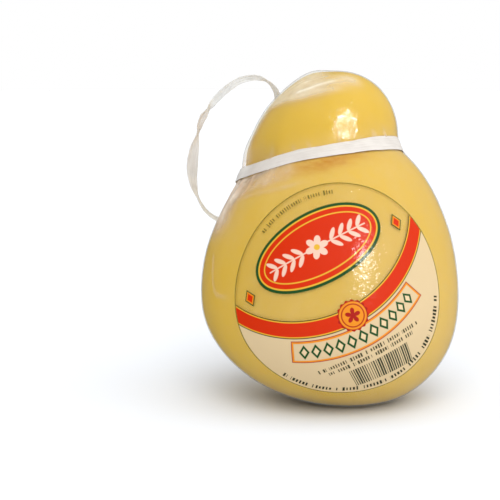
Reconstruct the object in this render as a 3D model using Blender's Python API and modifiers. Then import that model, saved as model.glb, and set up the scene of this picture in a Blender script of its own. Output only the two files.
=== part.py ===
"""A scamorza: one pear-shaped pulled-curd cheese, sealed in a clear shrink bag and tied with flat tape.

Units are metres, +Z is up and the printed front faces -Y. The origin is the middle of the flat
spot that the soft belly rests on. The bag and the cheese that fills it are one solid, because
the bag can't be seen into; the two labels, the band, the knot and the carrying loop are their own.
"""

import math

import bmesh
import bpy
from mathutils import Matrix, Vector
from mathutils.bvhtree import BVHTree

MM = 0.001

# ---- driving dimensions -------------------------------------------------------------------
# The pear is a squat belly with a ball of a head on it, and a soft fillet at the neck.
BELLY_RADIUS = 49.8 * MM
BELLY_HEIGHT = 39.8 * MM  # of the widest slice
SHOULDER_RISE = 61.2 * MM  # from the widest slice to where its arc would close
REST_RADIUS = 17.5 * MM  # of the flat spot
DEPTH_SHARE = 0.97  # the belly is a little flatter front to back
HEAD_RADIUS = 28.9 * MM
HEAD_HEIGHT = 95.0 * MM  # of the head's middle
NECK_HEIGHT = 87.0 * MM
NECK_FILLET = 4.3 * MM

# How the soft pear sits: it has settled to the right of its axis, and leans back.
BELLY_SHIFT_X = -6.8 * MM  # of the belly's axis from the flat spot
BELLY_SHIFT_Y = -3.0 * MM
HEAD_SHIFT = -1.8 * MM  # of the head from the belly's axis
CROWN_DRIFT = 0.054  # sideways, for each metre above the head's middle
LEAN = 0.30  # backwards, for each metre above the lean's start
LEAN_START = 24.0 * MM
LEAN_EASE = 14.0 * MM
NECK_RISE_X = 0.141  # the neck's ring climbs to the right
NECK_RISE_Y = -0.306  # and to the front, square to the lean
RISE_START = 32.0 * MM  # of the height where the rings begin to tip

# The bag is tight all over but for a loose pleat on its left, which spans the hollow of the neck
# as a tent and runs up to a low peak on the crown, and small gathers on both sides of the band.
PLEAT_ANGLE = math.radians(181.0)
PLEAT_HALF_WIDTH = 13.0 * MM
PLEAT_END = 6.0 * MM  # past the crown's middle
TENT_REACH = 3.2 * MM
TENT_HEIGHT = 90.0 * MM
TENT_SPREAD = 10.0 * MM
CROWN_REACH = 1.0 * MM
PEAK_REACH = 1.4 * MM  # more than the rest of the crown's pleat
PEAK_OUT = 5.5 * MM  # from the crown's middle
PEAK_SPREAD = 7.0 * MM
GATHER_REACH = 0.45 * MM
GATHER_FADE = 6.0 * MM

# The flat tape, tied round the neck on a slant.
TAPE_WIDTH = 4.8 * MM
TAPE_THICKNESS = 0.7 * MM
BAND_HEIGHT = 88.5 * MM  # where the band's plane crosses the neck's axis
BAND_RISE_X = 0.235
BAND_RISE_Y = -0.250
KNOT_ANGLE = math.radians(138.0)
KNOT_STAND_OFF = 5.2 * MM  # of the knot's middle from the film
KNOT_LENGTH = 9.0 * MM
KNOT_HEIGHT = 6.6 * MM
KNOT_DEPTH = 5.4 * MM
CORE_SHARE = 0.8  # of the knot's height, for the core inside the turn
TURN_RADIUS = 0.36 * KNOT_HEIGHT  # of the turn of tape round the core, and half its thickness
TURN_HALF = 0.14 * KNOT_HEIGHT
TURN_STRETCH = 2.1  # the turn's width for its thickness
TURN_SLANT = math.radians(78.0)
TAIL_LENGTH = 13.0 * MM
TAIL_DRIFT = -3.5 * MM  # sideways, over its length
TAIL_WIDTH = 0.8 * TAPE_WIDTH
TAIL_EASE = 1.8  # how soon the tail reaches the film

# The carrying loop, from the knot up behind the head, over to the left, and back down to the
# shoulder and the knot. The first and last points are at the knot.
LOOP_ROUTE = [
    Vector(point) * MM
    for point in (
        (-34.8, 40.6, 80.2),
        (-34.0, 40.6, 87.0),
        (-31.8, 39.2, 96.0),
        (-28.4, 37.4, 104.6),
        (-26.2, 33.6, 111.4),
        (-26.6, 29.6, 116.6),
        (-29.8, 27.6, 120.8),
        (-35.0, 26.8, 122.6),
        (-41.3, 26.5, 121.4),
        (-46.5, 26.5, 118.0),
        (-51.2, 27.0, 113.6),
        (-54.8, 27.5, 108.9),
        (-57.2, 28.0, 104.1),
        (-59.0, 28.8, 97.0),
        (-60.2, 29.6, 90.0),
        (-60.4, 30.6, 83.0),
        (-59.0, 31.6, 76.0),
        (-55.4, 32.4, 69.2),
        (-50.0, 33.2, 65.2),
        (-44.6, 35.4, 64.4),
        (-40.6, 37.8, 67.6),
        (-37.6, 39.8, 72.4),
    )
]
# How far the tape is turned about its own line at each of those points, in degrees.
LOOP_TWIST = (0, 10, 20, 30, 45, 60, 80, 10, 0, 0, 10, 40, 65, 50, 20, 10, 60, 85, 70, 50, 30, 20)
LOOP_STEPS = 3  # points from each stretch of the route
LOOP_WIDTH = 4.2 * MM

# The labels, as they were cut flat: round in front, a rounded rectangle behind.
FRONT_LABEL_RADIUS = 41.9 * MM
FRONT_LABEL_TURN = math.radians(1.2)  # of its middle from straight ahead
FRONT_LABEL_PITCH = math.radians(10.3)  # of its middle above the belly's middle
FRONT_LABEL_ROLL = math.radians(27.0)
BACK_LABEL_WIDTH = 58.0 * MM
BACK_LABEL_HEIGHT = 44.0 * MM
BACK_LABEL_CORNER = 7.0 * MM
BACK_LABEL_PITCH = math.radians(-4.0)
LABEL_THICKNESS = 0.4 * MM
LABEL_GAP = 0.4 * MM  # its flat faces cut the film's round a little
LAYING_TURN = math.radians(2.0)

GAP = 0.3 * MM  # that touching pieces keep
AROUND = 88  # flat sides round the pear
RING_ROWS = 44
ROW_EASE = 0.65  # the share of the rows that crowds towards the foot, and how much it does
ROW_POWER = 1.05
BAND_COLUMNS = 72
FRONT_LABEL_RINGS = 7
BACK_LABEL_COLUMNS = 13
BACK_LABEL_ROWS = 10
TAIL_ROWS = 8
MERGE = 0.00001
TINY = 1e-9


# ---- the pear's form ----------------------------------------------------------------------
def smooth(share):
    """A smooth step from 0 to 1."""
    share = min(1.0, max(0.0, share))
    return share * share * (3 - 2 * share)


def belly_radius(height):
    """The belly's radius at a height: an arc that sags to the flat spot, and one up to the neck."""
    if height < BELLY_HEIGHT:
        reach = BELLY_HEIGHT / math.sqrt(1 - (REST_RADIUS / BELLY_RADIUS) ** 2)
    else:
        reach = SHOULDER_RISE
    share = (height - BELLY_HEIGHT) / reach
    return BELLY_RADIUS * math.sqrt(max(0.0, 1 - share * share))


def head_radius(height):
    """The head's radius at a height, or 0 off the head."""
    return math.sqrt(max(0.0, HEAD_RADIUS**2 - (height - HEAD_HEIGHT) ** 2))


def pear_radius(height):
    """Belly and head as one, with a fillet where they meet."""
    if height > HEAD_HEIGHT + HEAD_RADIUS / 2:
        return head_radius(height)
    if height < BELLY_HEIGHT:
        return belly_radius(height)
    belly, head = belly_radius(height), head_radius(height)
    share = min(1.0, max(0.0, 0.5 + 0.5 * (belly - head) / NECK_FILLET))
    return head * (1 - share) + belly * share + NECK_FILLET * share * (1 - share)


def lean_at(height):
    """How far back the axis has leaned at a height: straight, with an eased start."""
    rise = height - LEAN_START
    return LEAN * 0.5 * (rise + math.hypot(rise, LEAN_EASE))


def axis_at(height):
    """The middle of the slice at a height."""
    settled = 1 - max(0.0, 1 - height / BELLY_HEIGHT) ** 2
    up_neck = smooth((height - BELLY_HEIGHT) / (HEAD_HEIGHT - BELLY_HEIGHT))
    drift = CROWN_DRIFT * max(0.0, height - HEAD_HEIGHT)
    x = BELLY_SHIFT_X * settled + HEAD_SHIFT * up_neck + drift
    return Vector((x, BELLY_SHIFT_Y * settled + lean_at(height) - lean_at(0), height))


def pear_point(x, y, height):
    """Where a point of the upright turned pear is on the leaning one, whose neck is tipped."""
    y *= DEPTH_SHARE
    tipped = smooth((height - RISE_START) / (NECK_HEIGHT - RISE_START))
    return axis_at(height) + Vector((x, y, tipped * (NECK_RISE_X * x + NECK_RISE_Y * y)))


def band_height(point):
    """The height of the band's plane over a point."""
    neck = axis_at(BAND_HEIGHT)
    return BAND_HEIGHT + BAND_RISE_X * (point.x - neck.x) + BAND_RISE_Y * (point.y - neck.y)


def film_lift(x, y, point):
    """How far the bag stands off the cheese at a point, which was at x, y on the upright pear."""
    out = x * math.cos(PLEAT_ANGLE) + y * math.sin(PLEAT_ANGLE)
    off = y * math.cos(PLEAT_ANGLE) - x * math.sin(PLEAT_ANGLE)
    crest = smooth(1 - abs(off) / PLEAT_HALF_WIDTH) * smooth(0.5 + 0.5 * out / PLEAT_END)
    tent = TENT_REACH * math.exp(-(((point.z - TENT_HEIGHT) / TENT_SPREAD) ** 2))
    peak = PEAK_REACH * math.exp(-(((out - PEAK_OUT) / PEAK_SPREAD) ** 2))
    crown = (CROWN_REACH + peak) * smooth((point.z - TENT_HEIGHT) / TENT_SPREAD)
    angle = math.atan2(y, x)
    away = abs(point.z - band_height(point)) / GATHER_FADE
    ripple = 0.5 + 0.25 * math.sin(11 * angle + 0.8) + 0.25 * math.sin(17 * angle + 2.1)
    return max(tent, crown) * crest + GATHER_REACH * ripple * away * math.exp(1 - away)


# ---- Blender helpers ----------------------------------------------------------------------
def clear_scene():
    """Removes what the startup file holds."""
    for obj in list(bpy.data.objects):
        bpy.data.objects.remove(obj)


def material(name, colour, roughness):
    """A plain Principled material."""
    made = bpy.data.materials.new(name)
    made.use_nodes = True
    shader = made.node_tree.nodes["Principled BSDF"]
    shader.inputs["Base Color"].default_value = (*colour, 1)
    shader.inputs["Roughness"].default_value = roughness
    return made


def add_object(name, data, collection, finish=None):
    """Links a new object to a collection, with its material."""
    obj = bpy.data.objects.new(name, data)
    collection.objects.link(obj)
    if finish:
        data.materials.clear()
        data.materials.append(finish)
    return obj


def evaluated_mesh(obj):
    """The mesh that an object's modifiers make, and the object is removed."""
    graph = bpy.context.evaluated_depsgraph_get()
    mesh = bpy.data.meshes.new_from_object(obj.evaluated_get(graph))
    bpy.data.objects.remove(obj)
    return mesh


def turned_mesh(name, profile, collection, steps):
    """Turns a profile of (radius, height) pairs, which runs top to bottom, about Z."""
    mesh = bpy.data.meshes.new(name)
    edges = [(i, i + 1) for i in range(len(profile) - 1)]
    mesh.from_pydata([(radius, 0, height) for radius, height in profile], edges, [])
    obj = add_object(name, mesh, collection)
    screw = obj.modifiers.new("Turn", "SCREW")
    screw.steps = screw.render_steps = steps
    screw.use_merge_vertices = True
    screw.merge_threshold = MERGE
    return evaluated_mesh(obj)


def smooth_route(points, steps):
    """A smooth curve through points, as closely spaced points."""
    ends = [2 * points[0] - points[1], *points, 2 * points[-1] - points[-2]]
    found = []
    for i in range(1, len(ends) - 2):
        before, a, b, after = ends[i - 1 : i + 3]
        for step in range(steps):
            t = step / steps
            found.append(
                0.5
                * (
                    2 * a
                    + (b - before) * t
                    + (2 * before - 5 * a + 4 * b - after) * t * t
                    + (3 * a - before - 3 * b + after) * t * t * t
                )
            )
    return [*found, points[-1]]


def solid_sheet(name, mesh, thickness, collection, finish):
    """A thin solid from an open mesh, thickened outwards."""
    sheet = add_object(name, mesh, collection, finish)
    shell = sheet.modifiers.new("Thickness", "SOLIDIFY")
    shell.thickness = thickness
    shell.offset = 1
    mesh.shade_smooth()
    return sheet


# ---- the pieces ---------------------------------------------------------------------------
def pear_profile():
    """(radius, height) pairs down the pear's outer side, closed on the axis at both ends."""
    crown = HEAD_HEIGHT + HEAD_RADIUS
    rows = []
    for i in range(RING_ROWS + 1):
        # Even steps of an angle crowd the rows at the crown and the foot, where the pear curves most.
        share = i / RING_ROWS
        turn = math.pi * ((1 - ROW_EASE) * share + ROW_EASE * share**ROW_POWER)
        height = crown * (0.5 + 0.5 * math.cos(turn))
        rows.append((pear_radius(height), max(0.0, height)))
    rows[0] = (0.0, crown)
    rows[-1] = (REST_RADIUS, 0.0)
    return [*rows, (0.0, 0.0)]


def make_bagged_cheese(collection, finish):
    """The cheese in its tight bag, as one closed solid."""
    mesh = turned_mesh("bagged_cheese", pear_profile(), collection, AROUND)
    upright = [vertex.co.copy() for vertex in mesh.vertices]
    for vertex in mesh.vertices:
        vertex.co = pear_point(*vertex.co)
    mesh.update()
    normals = [vertex.normal.copy() for vertex in mesh.vertices]
    for vertex, (x, y, _), normal in zip(mesh.vertices, upright, normals):
        if vertex.co.z > MERGE:
            vertex.co += normal * film_lift(x, y, vertex.co)
    mesh.shade_smooth()
    return add_object("bagged_cheese", mesh, collection, finish)


def surface_of(obj):
    """A tree of an object's faces, for finding where a ray meets it."""
    return BVHTree.FromObject(obj, bpy.context.evaluated_depsgraph_get())


def laid_point(surface, middle, ahead, flat):
    """Walks over the film from a label's middle, as far as the flat label reaches."""
    way, left, turn = flat.normalized(), flat.length, 0.0
    here, normal, _, _ = surface.ray_cast(middle, ahead)
    while left > MERGE:
        turn += LAYING_TURN
        there, normal, _, _ = surface.ray_cast(middle, ahead * math.cos(turn) + way * math.sin(turn))
        stride = (there - here).length
        if stride >= left:
            return here.lerp(there, left / stride), normal
        left -= stride
        here = there
    return here, normal


def wrap_on(mesh, surface, ahead, roll):
    """Lays a flat mesh, drawn about the origin in XY, on the belly round the direction ahead."""
    middle = axis_at(BELLY_HEIGHT)
    right = Vector((0, 0, 1)).cross(ahead).normalized()
    above = ahead.cross(right)
    across = right * math.cos(roll) + above * math.sin(roll)
    along = above * math.cos(roll) - right * math.sin(roll)
    for vertex in mesh.vertices:
        flat = across * vertex.co.x + along * vertex.co.y
        place, normal = laid_point(surface, middle, ahead, flat)
        vertex.co = place + normal * LABEL_GAP
    mesh.update()


def make_front_label(collection, finish, surface):
    """The round label, a disc of rings wrapped on the belly's front."""
    shares = [1 - i / FRONT_LABEL_RINGS for i in range(FRONT_LABEL_RINGS + 1)]
    profile = [(FRONT_LABEL_RADIUS * share, 0) for share in shares]
    mesh = turned_mesh("front_label", profile, collection, AROUND // 2)
    face_up(mesh)
    ahead = Vector(
        (
            math.sin(FRONT_LABEL_TURN) * math.cos(FRONT_LABEL_PITCH),
            -math.cos(FRONT_LABEL_TURN) * math.cos(FRONT_LABEL_PITCH),
            math.sin(FRONT_LABEL_PITCH),
        )
    )
    wrap_on(mesh, surface, ahead, FRONT_LABEL_ROLL)
    return solid_sheet("front_label", mesh, LABEL_THICKNESS, collection, finish)


def make_back_label(collection, finish, surface):
    """The rectangular label, a grid with rounded corners wrapped on the belly's back."""
    shape = bmesh.new()
    bmesh.ops.create_grid(
        shape, x_segments=BACK_LABEL_COLUMNS, y_segments=BACK_LABEL_ROWS, size=0.5
    )
    for vertex in shape.verts:
        vertex.co = rounded(vertex.co.x * BACK_LABEL_WIDTH, vertex.co.y * BACK_LABEL_HEIGHT)
    mesh = bpy.data.meshes.new("back_label")
    shape.to_mesh(mesh)
    shape.free()
    face_up(mesh)
    ahead = Vector((0, math.cos(BACK_LABEL_PITCH), math.sin(BACK_LABEL_PITCH)))
    wrap_on(mesh, surface, ahead, 0)
    return solid_sheet("back_label", mesh, LABEL_THICKNESS, collection, finish)


def rounded(x, y):
    """Draws a rectangle's point in, so that the corners come out round."""
    spare = Vector(
        (
            max(0.0, abs(x) - BACK_LABEL_WIDTH / 2 + BACK_LABEL_CORNER),
            max(0.0, abs(y) - BACK_LABEL_HEIGHT / 2 + BACK_LABEL_CORNER),
        )
    )
    if spare.length < MERGE:
        return Vector((x, y, 0))
    kept = spare.normalized() * max(spare)
    return Vector(
        (
            math.copysign(abs(x) - spare.x + kept.x, x),
            math.copysign(abs(y) - spare.y + kept.y, y),
            0,
        )
    )


def face_up(mesh):
    """Turns a flat mesh's faces to +Z."""
    shape = bmesh.new()
    shape.from_mesh(mesh)
    for face in shape.faces:
        if face.normal.z < 0:
            face.normal_flip()
    shape.to_mesh(mesh)
    shape.free()


def band_frame():
    """The band's plane: its middle, and unit vectors in it and square to it."""
    middle = axis_at(BAND_HEIGHT)
    up = Vector((-BAND_RISE_X, -BAND_RISE_Y, 1)).normalized()
    right = Vector((1, 0, BAND_RISE_X)).normalized()
    return middle, right, up.cross(right), up


def hull(points):
    """The convex outline of (x, y) points, anticlockwise: the way of a taut tape round them."""

    def half(ordered):
        chain = []
        for p in ordered:
            while len(chain) > 1:
                (ax, ay), (bx, by) = chain[-2:]
                if (bx - ax) * (p[1] - ay) - (by - ay) * (p[0] - ax) > 0:
                    break
                chain.pop()
            chain.append(p)
        return chain[:-1]

    return half(sorted(points)) + half(sorted(points, reverse=True))


def taut_radius(outline, angle):
    """How far a convex outline is from its middle, in a direction."""
    dx, dy = math.cos(angle), math.sin(angle)
    for (ax, ay), (bx, by) in zip(outline, outline[1:] + outline[:1]):
        turn = dx * (by - ay) - dy * (bx - ax)
        if abs(turn) < TINY * MM:
            continue
        reach = (ax * (by - ay) - ay * (bx - ax)) / turn
        share = (ax * dy - ay * dx) / turn
        if reach > 0 and -TINY <= share <= 1 + TINY:
            return reach
    raise ValueError("the outline doesn't go round its middle")


def knot_middle(surface):
    """The middle of the knot, just off the back of the neck, and the way out from the neck."""
    middle, right, back, _ = band_frame()
    outwards = right * math.cos(KNOT_ANGLE) + back * math.sin(KNOT_ANGLE)
    place, _, _, _ = surface.ray_cast(middle, outwards)
    return place + outwards * KNOT_STAND_OFF, outwards


def band_rows(surface, knot_place):
    """The tape's upper edge, middle and lower edge: each one's own middle and its taut outline."""
    middle, right, back, up = band_frame()
    knot = knot_place - middle
    rows = []
    for level in (0.5, 0.0, -0.5):
        start = middle + up * (level * TAPE_WIDTH)
        points = [(knot.dot(right), knot.dot(back))]
        for i in range(AROUND):
            angle = 2 * math.pi * i / AROUND
            ray = right * math.cos(angle) + back * math.sin(angle)
            place, _, _, reach = surface.ray_cast(start, ray)
            points.append(((reach + GAP) * math.cos(angle), (reach + GAP) * math.sin(angle)))
        rows.append((start, hull(points)))
    return rows


def make_neck_band(collection, finish, surface, knot_place):
    """The tape round the neck, as taut as a string round a parcel, and open where the knot is."""
    middle, right, back, _ = band_frame()
    rows = band_rows(surface, knot_place)
    half_gap = (KNOT_LENGTH / 2 + GAP) / (knot_place - middle).length
    shape = bmesh.new()
    bmesh.ops.create_grid(shape, x_segments=BAND_COLUMNS, y_segments=len(rows) - 1, size=0.5)
    for vertex in shape.verts:
        start, outline = rows[round((0.5 - vertex.co.y) * (len(rows) - 1))]
        turn = half_gap + (vertex.co.x + 0.5) * (2 * math.pi - 2 * half_gap)
        angle = KNOT_ANGLE + turn
        reach = taut_radius(outline, angle)
        vertex.co = start + (right * math.cos(angle) + back * math.sin(angle)) * reach
    mesh = bpy.data.meshes.new("neck_band")
    shape.to_mesh(mesh)
    shape.free()
    return solid_sheet("neck_band", mesh, TAPE_THICKNESS, collection, finish)


def make_knot(collection, cutters, finish, surface, place, outwards):
    """The knot: a pulled core, one turn of tape round it, and a short tail on the shoulder."""
    up = band_frame()[3]
    along = up.cross(outwards)
    turned = Matrix((along, outwards, up)).transposed().to_4x4()
    bpy.ops.mesh.primitive_uv_sphere_add(segments=20, ring_count=10, radius=0.5)
    core = bpy.context.object
    core.data.transform(Matrix.Diagonal((KNOT_LENGTH, KNOT_DEPTH, KNOT_HEIGHT * CORE_SHARE, 1)))
    bpy.ops.mesh.primitive_torus_add(
        major_segments=18, minor_segments=8, major_radius=TURN_RADIUS, minor_radius=TURN_HALF
    )
    turn = bpy.context.object
    turn.data.transform(Matrix.Diagonal((1, 1, TURN_STRETCH, 1)))
    turn.data.transform(Matrix.Rotation(TURN_SLANT, 4, "Y"))
    tail = bpy.data.objects.new("knot_tail", tail_mesh(place, outwards, surface))
    shell = tail.modifiers.new("Thickness", "SOLIDIFY")
    shell.thickness = TAPE_THICKNESS
    shell.offset = 0
    for piece in (core, turn):
        for owner in list(piece.users_collection):
            owner.objects.unlink(piece)
        piece.data.transform(Matrix.Translation(place) @ turned)
    for piece in (turn, tail):
        cutters.objects.link(piece)
        piece.hide_render = True
        piece.display_type = "WIRE"
    turn.name = "knot_turn"
    core.name = core.data.name = "knot"
    collection.objects.link(core)
    core.data.materials.append(finish)
    join = core.modifiers.new("Join", "BOOLEAN")
    join.operation = "UNION"
    join.operand_type = "COLLECTION"
    join.collection = cutters
    core.data.shade_smooth()
    return core


def tail_mesh(place, outwards, surface):
    """The tape's cut end, from inside the knot down over the shoulder."""
    side = Vector((0, 0, 1)).cross(outwards).normalized()
    shape = bmesh.new()
    bmesh.ops.create_grid(shape, x_segments=1, y_segments=TAIL_ROWS, size=0.5)
    for vertex in shape.verts:
        share = 0.5 - vertex.co.y
        drop = place + Vector((0, 0, -TAIL_LENGTH * share)) + side * (TAIL_DRIFT * share)
        inside, normal, _, _ = surface.find_nearest(drop)
        clear = inside + normal * (GAP + TAPE_THICKNESS)
        centre = place.lerp(clear, smooth(share * TAIL_EASE))
        centre.z = drop.z
        vertex.co = centre + side * (vertex.co.x * TAIL_WIDTH)
    mesh = bpy.data.meshes.new("knot_tail")
    shape.to_mesh(mesh)
    shape.free()
    return mesh


def make_carrying_loop(collection, finish):
    """The free loop of flat tape, as a curve with a thin, wide bevel that twists along its way."""
    curve = bpy.data.curves.new("carrying_loop", "CURVE")
    curve.dimensions = "3D"
    points = smooth_route(LOOP_ROUTE, LOOP_STEPS)
    spline = curve.splines.new("POLY")
    spline.points.add(len(points) - 1)
    for i, (slot, point) in enumerate(zip(spline.points, points)):
        before, share = divmod(i / LOOP_STEPS, 1)
        after = min(int(before) + 1, len(LOOP_TWIST) - 1)
        twist = LOOP_TWIST[int(before)] * (1 - share) + LOOP_TWIST[after] * share
        slot.co = (*point, 1)
        slot.tilt = math.radians(twist)
    curve.twist_mode = "MINIMUM"
    curve.extrude = LOOP_WIDTH / 2 - TAPE_THICKNESS / 2
    curve.bevel_depth = TAPE_THICKNESS / 2
    curve.bevel_resolution = 2
    curve.use_fill_caps = True
    return add_object("carrying_loop", curve, collection, finish)


def main():
    """Builds every piece in its place."""
    clear_scene()
    parts = bpy.data.collections.new("scamorza")
    knot_parts = bpy.data.collections.new("knot_parts")
    for collection in (parts, knot_parts):
        bpy.context.scene.collection.children.link(collection)
    film = material("film_over_cheese", (0.80, 0.53, 0.13), 0.3)
    print_stock = material("label_stock", (0.78, 0.70, 0.48), 0.4)
    tape = material("white_tape", (0.82, 0.79, 0.74), 0.6)

    pear = make_bagged_cheese(parts, film)
    surface = surface_of(pear)
    make_front_label(parts, print_stock, surface)
    make_back_label(parts, print_stock, surface)
    place, outwards = knot_middle(surface)
    make_neck_band(parts, tape, surface, place)
    make_knot(parts, knot_parts, tape, surface, place, outwards)
    make_carrying_loop(parts, tape)


main()
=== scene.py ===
"""The looks of a scamorza: a pear of pulled curd in a clear shrink bag, with its labels and tape.

Two skins are cast from the frame's solid: the cheese, and the bag that hugs it. A round printed
label lies on the bag's front and a rectangular one on its back. Flat tape goes round the neck
into a knot behind it, and up into a carrying loop. Lengths are metres, +Z is up and the front faces -Y.
"""

import logging
import math
import random
from collections.abc import Callable, Iterator, Sequence
from contextlib import contextmanager
from dataclasses import dataclass, field
from enum import Enum

import bpy
import numpy as np
from mathutils import Matrix, Vector, noise
from mathutils.bvhtree import BVHTree


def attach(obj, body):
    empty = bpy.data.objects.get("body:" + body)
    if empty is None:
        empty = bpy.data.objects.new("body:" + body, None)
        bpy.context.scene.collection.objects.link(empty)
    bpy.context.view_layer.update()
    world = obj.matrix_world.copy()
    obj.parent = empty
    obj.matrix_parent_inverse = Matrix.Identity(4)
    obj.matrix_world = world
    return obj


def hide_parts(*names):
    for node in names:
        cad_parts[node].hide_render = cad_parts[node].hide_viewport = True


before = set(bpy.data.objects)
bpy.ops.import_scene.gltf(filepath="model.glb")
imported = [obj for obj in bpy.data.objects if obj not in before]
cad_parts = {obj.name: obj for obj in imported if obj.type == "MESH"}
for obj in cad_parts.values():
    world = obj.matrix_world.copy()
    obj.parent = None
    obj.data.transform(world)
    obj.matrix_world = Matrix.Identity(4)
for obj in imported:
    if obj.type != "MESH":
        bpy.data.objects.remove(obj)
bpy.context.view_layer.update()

MM = 0.001
LOG = logging.getLogger("scamorza")

Colour = tuple[float, float, float]
Pair = tuple[float, float]
Place = tuple[float, float, float]


class Slot(Enum):
    """The record's material slots."""

    FILM = "film_over_cheese"
    LABEL = "label_stock"
    TAPE = "white_tape"


# ---- small helpers ------------------------------------------------------------------------
def seen(red: int, green: int, blue: int) -> Colour:
    """A colour as it is seen on a screen, made the linear one that shaders take.

    Args:
        red, green, blue: The colour from 0 to 255.

    Returns:
        The same colour, linear, from 0 to 1.
    """

    def linear(level: int) -> float:
        share = level / 255
        return share / 12.92 if share <= 0.04045 else ((share + 0.055) / 1.055) ** 2.4

    return linear(red), linear(green), linear(blue)


def smooth(share: np.ndarray | float) -> np.ndarray | float:
    """A smooth step from 0 to 1."""
    share = np.clip(share, 0.0, 1.0)
    return share * share * (3 - 2 * share)


def bell(distance: np.ndarray | float, width: float) -> np.ndarray | float:
    """A soft hump, 1 at no distance."""
    return np.exp(-((distance / width) ** 2))


def smooth_route(points: Sequence[Vector], steps: int) -> list[Vector]:
    """Threads a smooth curve through points.

    Args:
        points: What the curve passes through; vectors of any length.
        steps: How many points each stretch gets.

    Returns:
        Points along the curve, the first and last given ones among them.
    """
    ends = [2 * points[0] - points[1], *points, 2 * points[-1] - points[-2]]
    found = []
    for i in range(1, len(ends) - 2):
        before, a, b, after = ends[i - 1 : i + 3]
        for step in range(steps):
            t = step / steps
            square = (2 * before - 5 * a + 4 * b - after) * (t * t)
            cube = (3 * a - before - 3 * b + after) * (t * t * t)
            found.append((2 * a + (b - before) * t + square + cube) * 0.5)
    return [*found, points[-1]]


# ---- the workbench ------------------------------------------------------------------------
class Workbench:
    """The modelling moves that every piece is made with."""

    @staticmethod
    def clear_selection() -> None:
        """Deselects everything, so that a new primitive is selected alone."""
        for other in bpy.context.selected_objects:
            other.select_set(False)

    @staticmethod
    def only(obj: bpy.types.Object) -> None:
        """Selects one object alone, and makes it active."""
        Workbench.clear_selection()
        obj.select_set(True)
        bpy.context.view_layer.objects.active = obj

    @staticmethod
    @contextmanager
    def editing(obj: bpy.types.Object) -> Iterator[None]:
        """Edit mode on one object, for the length of a with block."""
        Workbench.only(obj)
        bpy.ops.object.mode_set(mode="EDIT")
        yield
        bpy.ops.object.mode_set(mode="OBJECT")

    @staticmethod
    def named(name: str) -> bpy.types.Object:
        """Names the primitive that was just added, and applies its place."""
        obj = bpy.context.object
        obj.name = obj.data.name = name
        bpy.ops.object.transform_apply(location=True, rotation=True, scale=True)
        return obj

    @staticmethod
    def modify(obj: bpy.types.Object, kind: str, **settings: object) -> None:
        """Adds a modifier with its settings, and applies it."""
        Workbench.only(obj)
        modifier = obj.modifiers.new(kind.title(), kind)
        for name, setting in settings.items():
            setattr(modifier, name, setting)
        bpy.ops.object.modifier_apply(modifier=modifier.name)

    @staticmethod
    def subdivide(obj: bpy.types.Object, levels: int) -> None:
        """Rounds a cage with a subdivision surface."""
        Workbench.modify(obj, "SUBSURF", levels=levels, render_levels=levels)

    @staticmethod
    def thicken(obj: bpy.types.Object, thickness: float, offset: float, rim_only: bool = False) -> None:
        """Gives a sheet its thickness, or only the rim that shows it."""
        Workbench.modify(obj, "SOLIDIFY", thickness=thickness, offset=offset, use_rim_only=rim_only)

    @staticmethod
    def join(pieces: Sequence[bpy.types.Object]) -> bpy.types.Object:
        """Joins pieces into the first of them."""
        Workbench.only(pieces[0])
        for piece in pieces:
            piece.select_set(True)
        bpy.ops.object.join()
        return pieces[0]

    @staticmethod
    def shade_smooth(obj: bpy.types.Object, degrees: float = 180) -> None:
        """Shades an object smooth, with edges sharper than an angle left sharp."""
        Workbench.only(obj)
        bpy.ops.object.shade_smooth_by_angle(angle=math.radians(degrees))

    @staticmethod
    def read(obj: bpy.types.Object, part: str) -> np.ndarray:
        """A vector that each of an object's points has, one row each."""
        found = np.empty(len(obj.data.vertices) * 3, np.float32)
        obj.data.vertices.foreach_get(part, found)
        return found.reshape(-1, 3).astype(float)

    @staticmethod
    def places(obj: bpy.types.Object) -> np.ndarray:
        """The places of an object's points, one row each."""
        return Workbench.read(obj, "co")

    @staticmethod
    def normals(obj: bpy.types.Object) -> np.ndarray:
        """The unit normals at an object's points, one row each."""
        return Workbench.read(obj, "normal")

    @staticmethod
    def put(obj: bpy.types.Object, places: np.ndarray) -> None:
        """Moves an object's points to new places."""
        obj.data.vertices.foreach_set("co", places.astype(np.float32).ravel())
        obj.data.update()

    @staticmethod
    def tree_of(obj: bpy.types.Object) -> BVHTree:
        """A tree of an object's faces, which rays and nearest points are found on."""
        mesh = obj.data
        corners = [vertex.co for vertex in mesh.vertices]
        return BVHTree.FromPolygons(corners, [tuple(face.vertices) for face in mesh.polygons])

    @staticmethod
    def paint(obj: bpy.types.Object, name: str, values: np.ndarray) -> None:
        """Keeps a value for each point of an object, for its material to read."""
        attribute = obj.data.attributes.new(name, "FLOAT", "POINT")
        attribute.data.foreach_set("value", values.astype(np.float32))


# ---- shader building ----------------------------------------------------------------------
def math_method(kind: str, purpose: str, swapped: bool = False) -> Callable[..., "Wire"]:
    """Makes a method of Wire that adds a Math node.

    Args:
        kind: The node's operation.
        purpose: The method's docstring.
        swapped: Whether the wire comes last, as in a number minus a wire.

    Returns:
        The method.
    """

    def method(self: "Wire", *others: "Wire | float") -> "Wire":
        values = (*others, self) if swapped else (self, *others)
        return self.nodes.math(kind, *values)

    method.__doc__ = purpose
    return method


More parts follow.
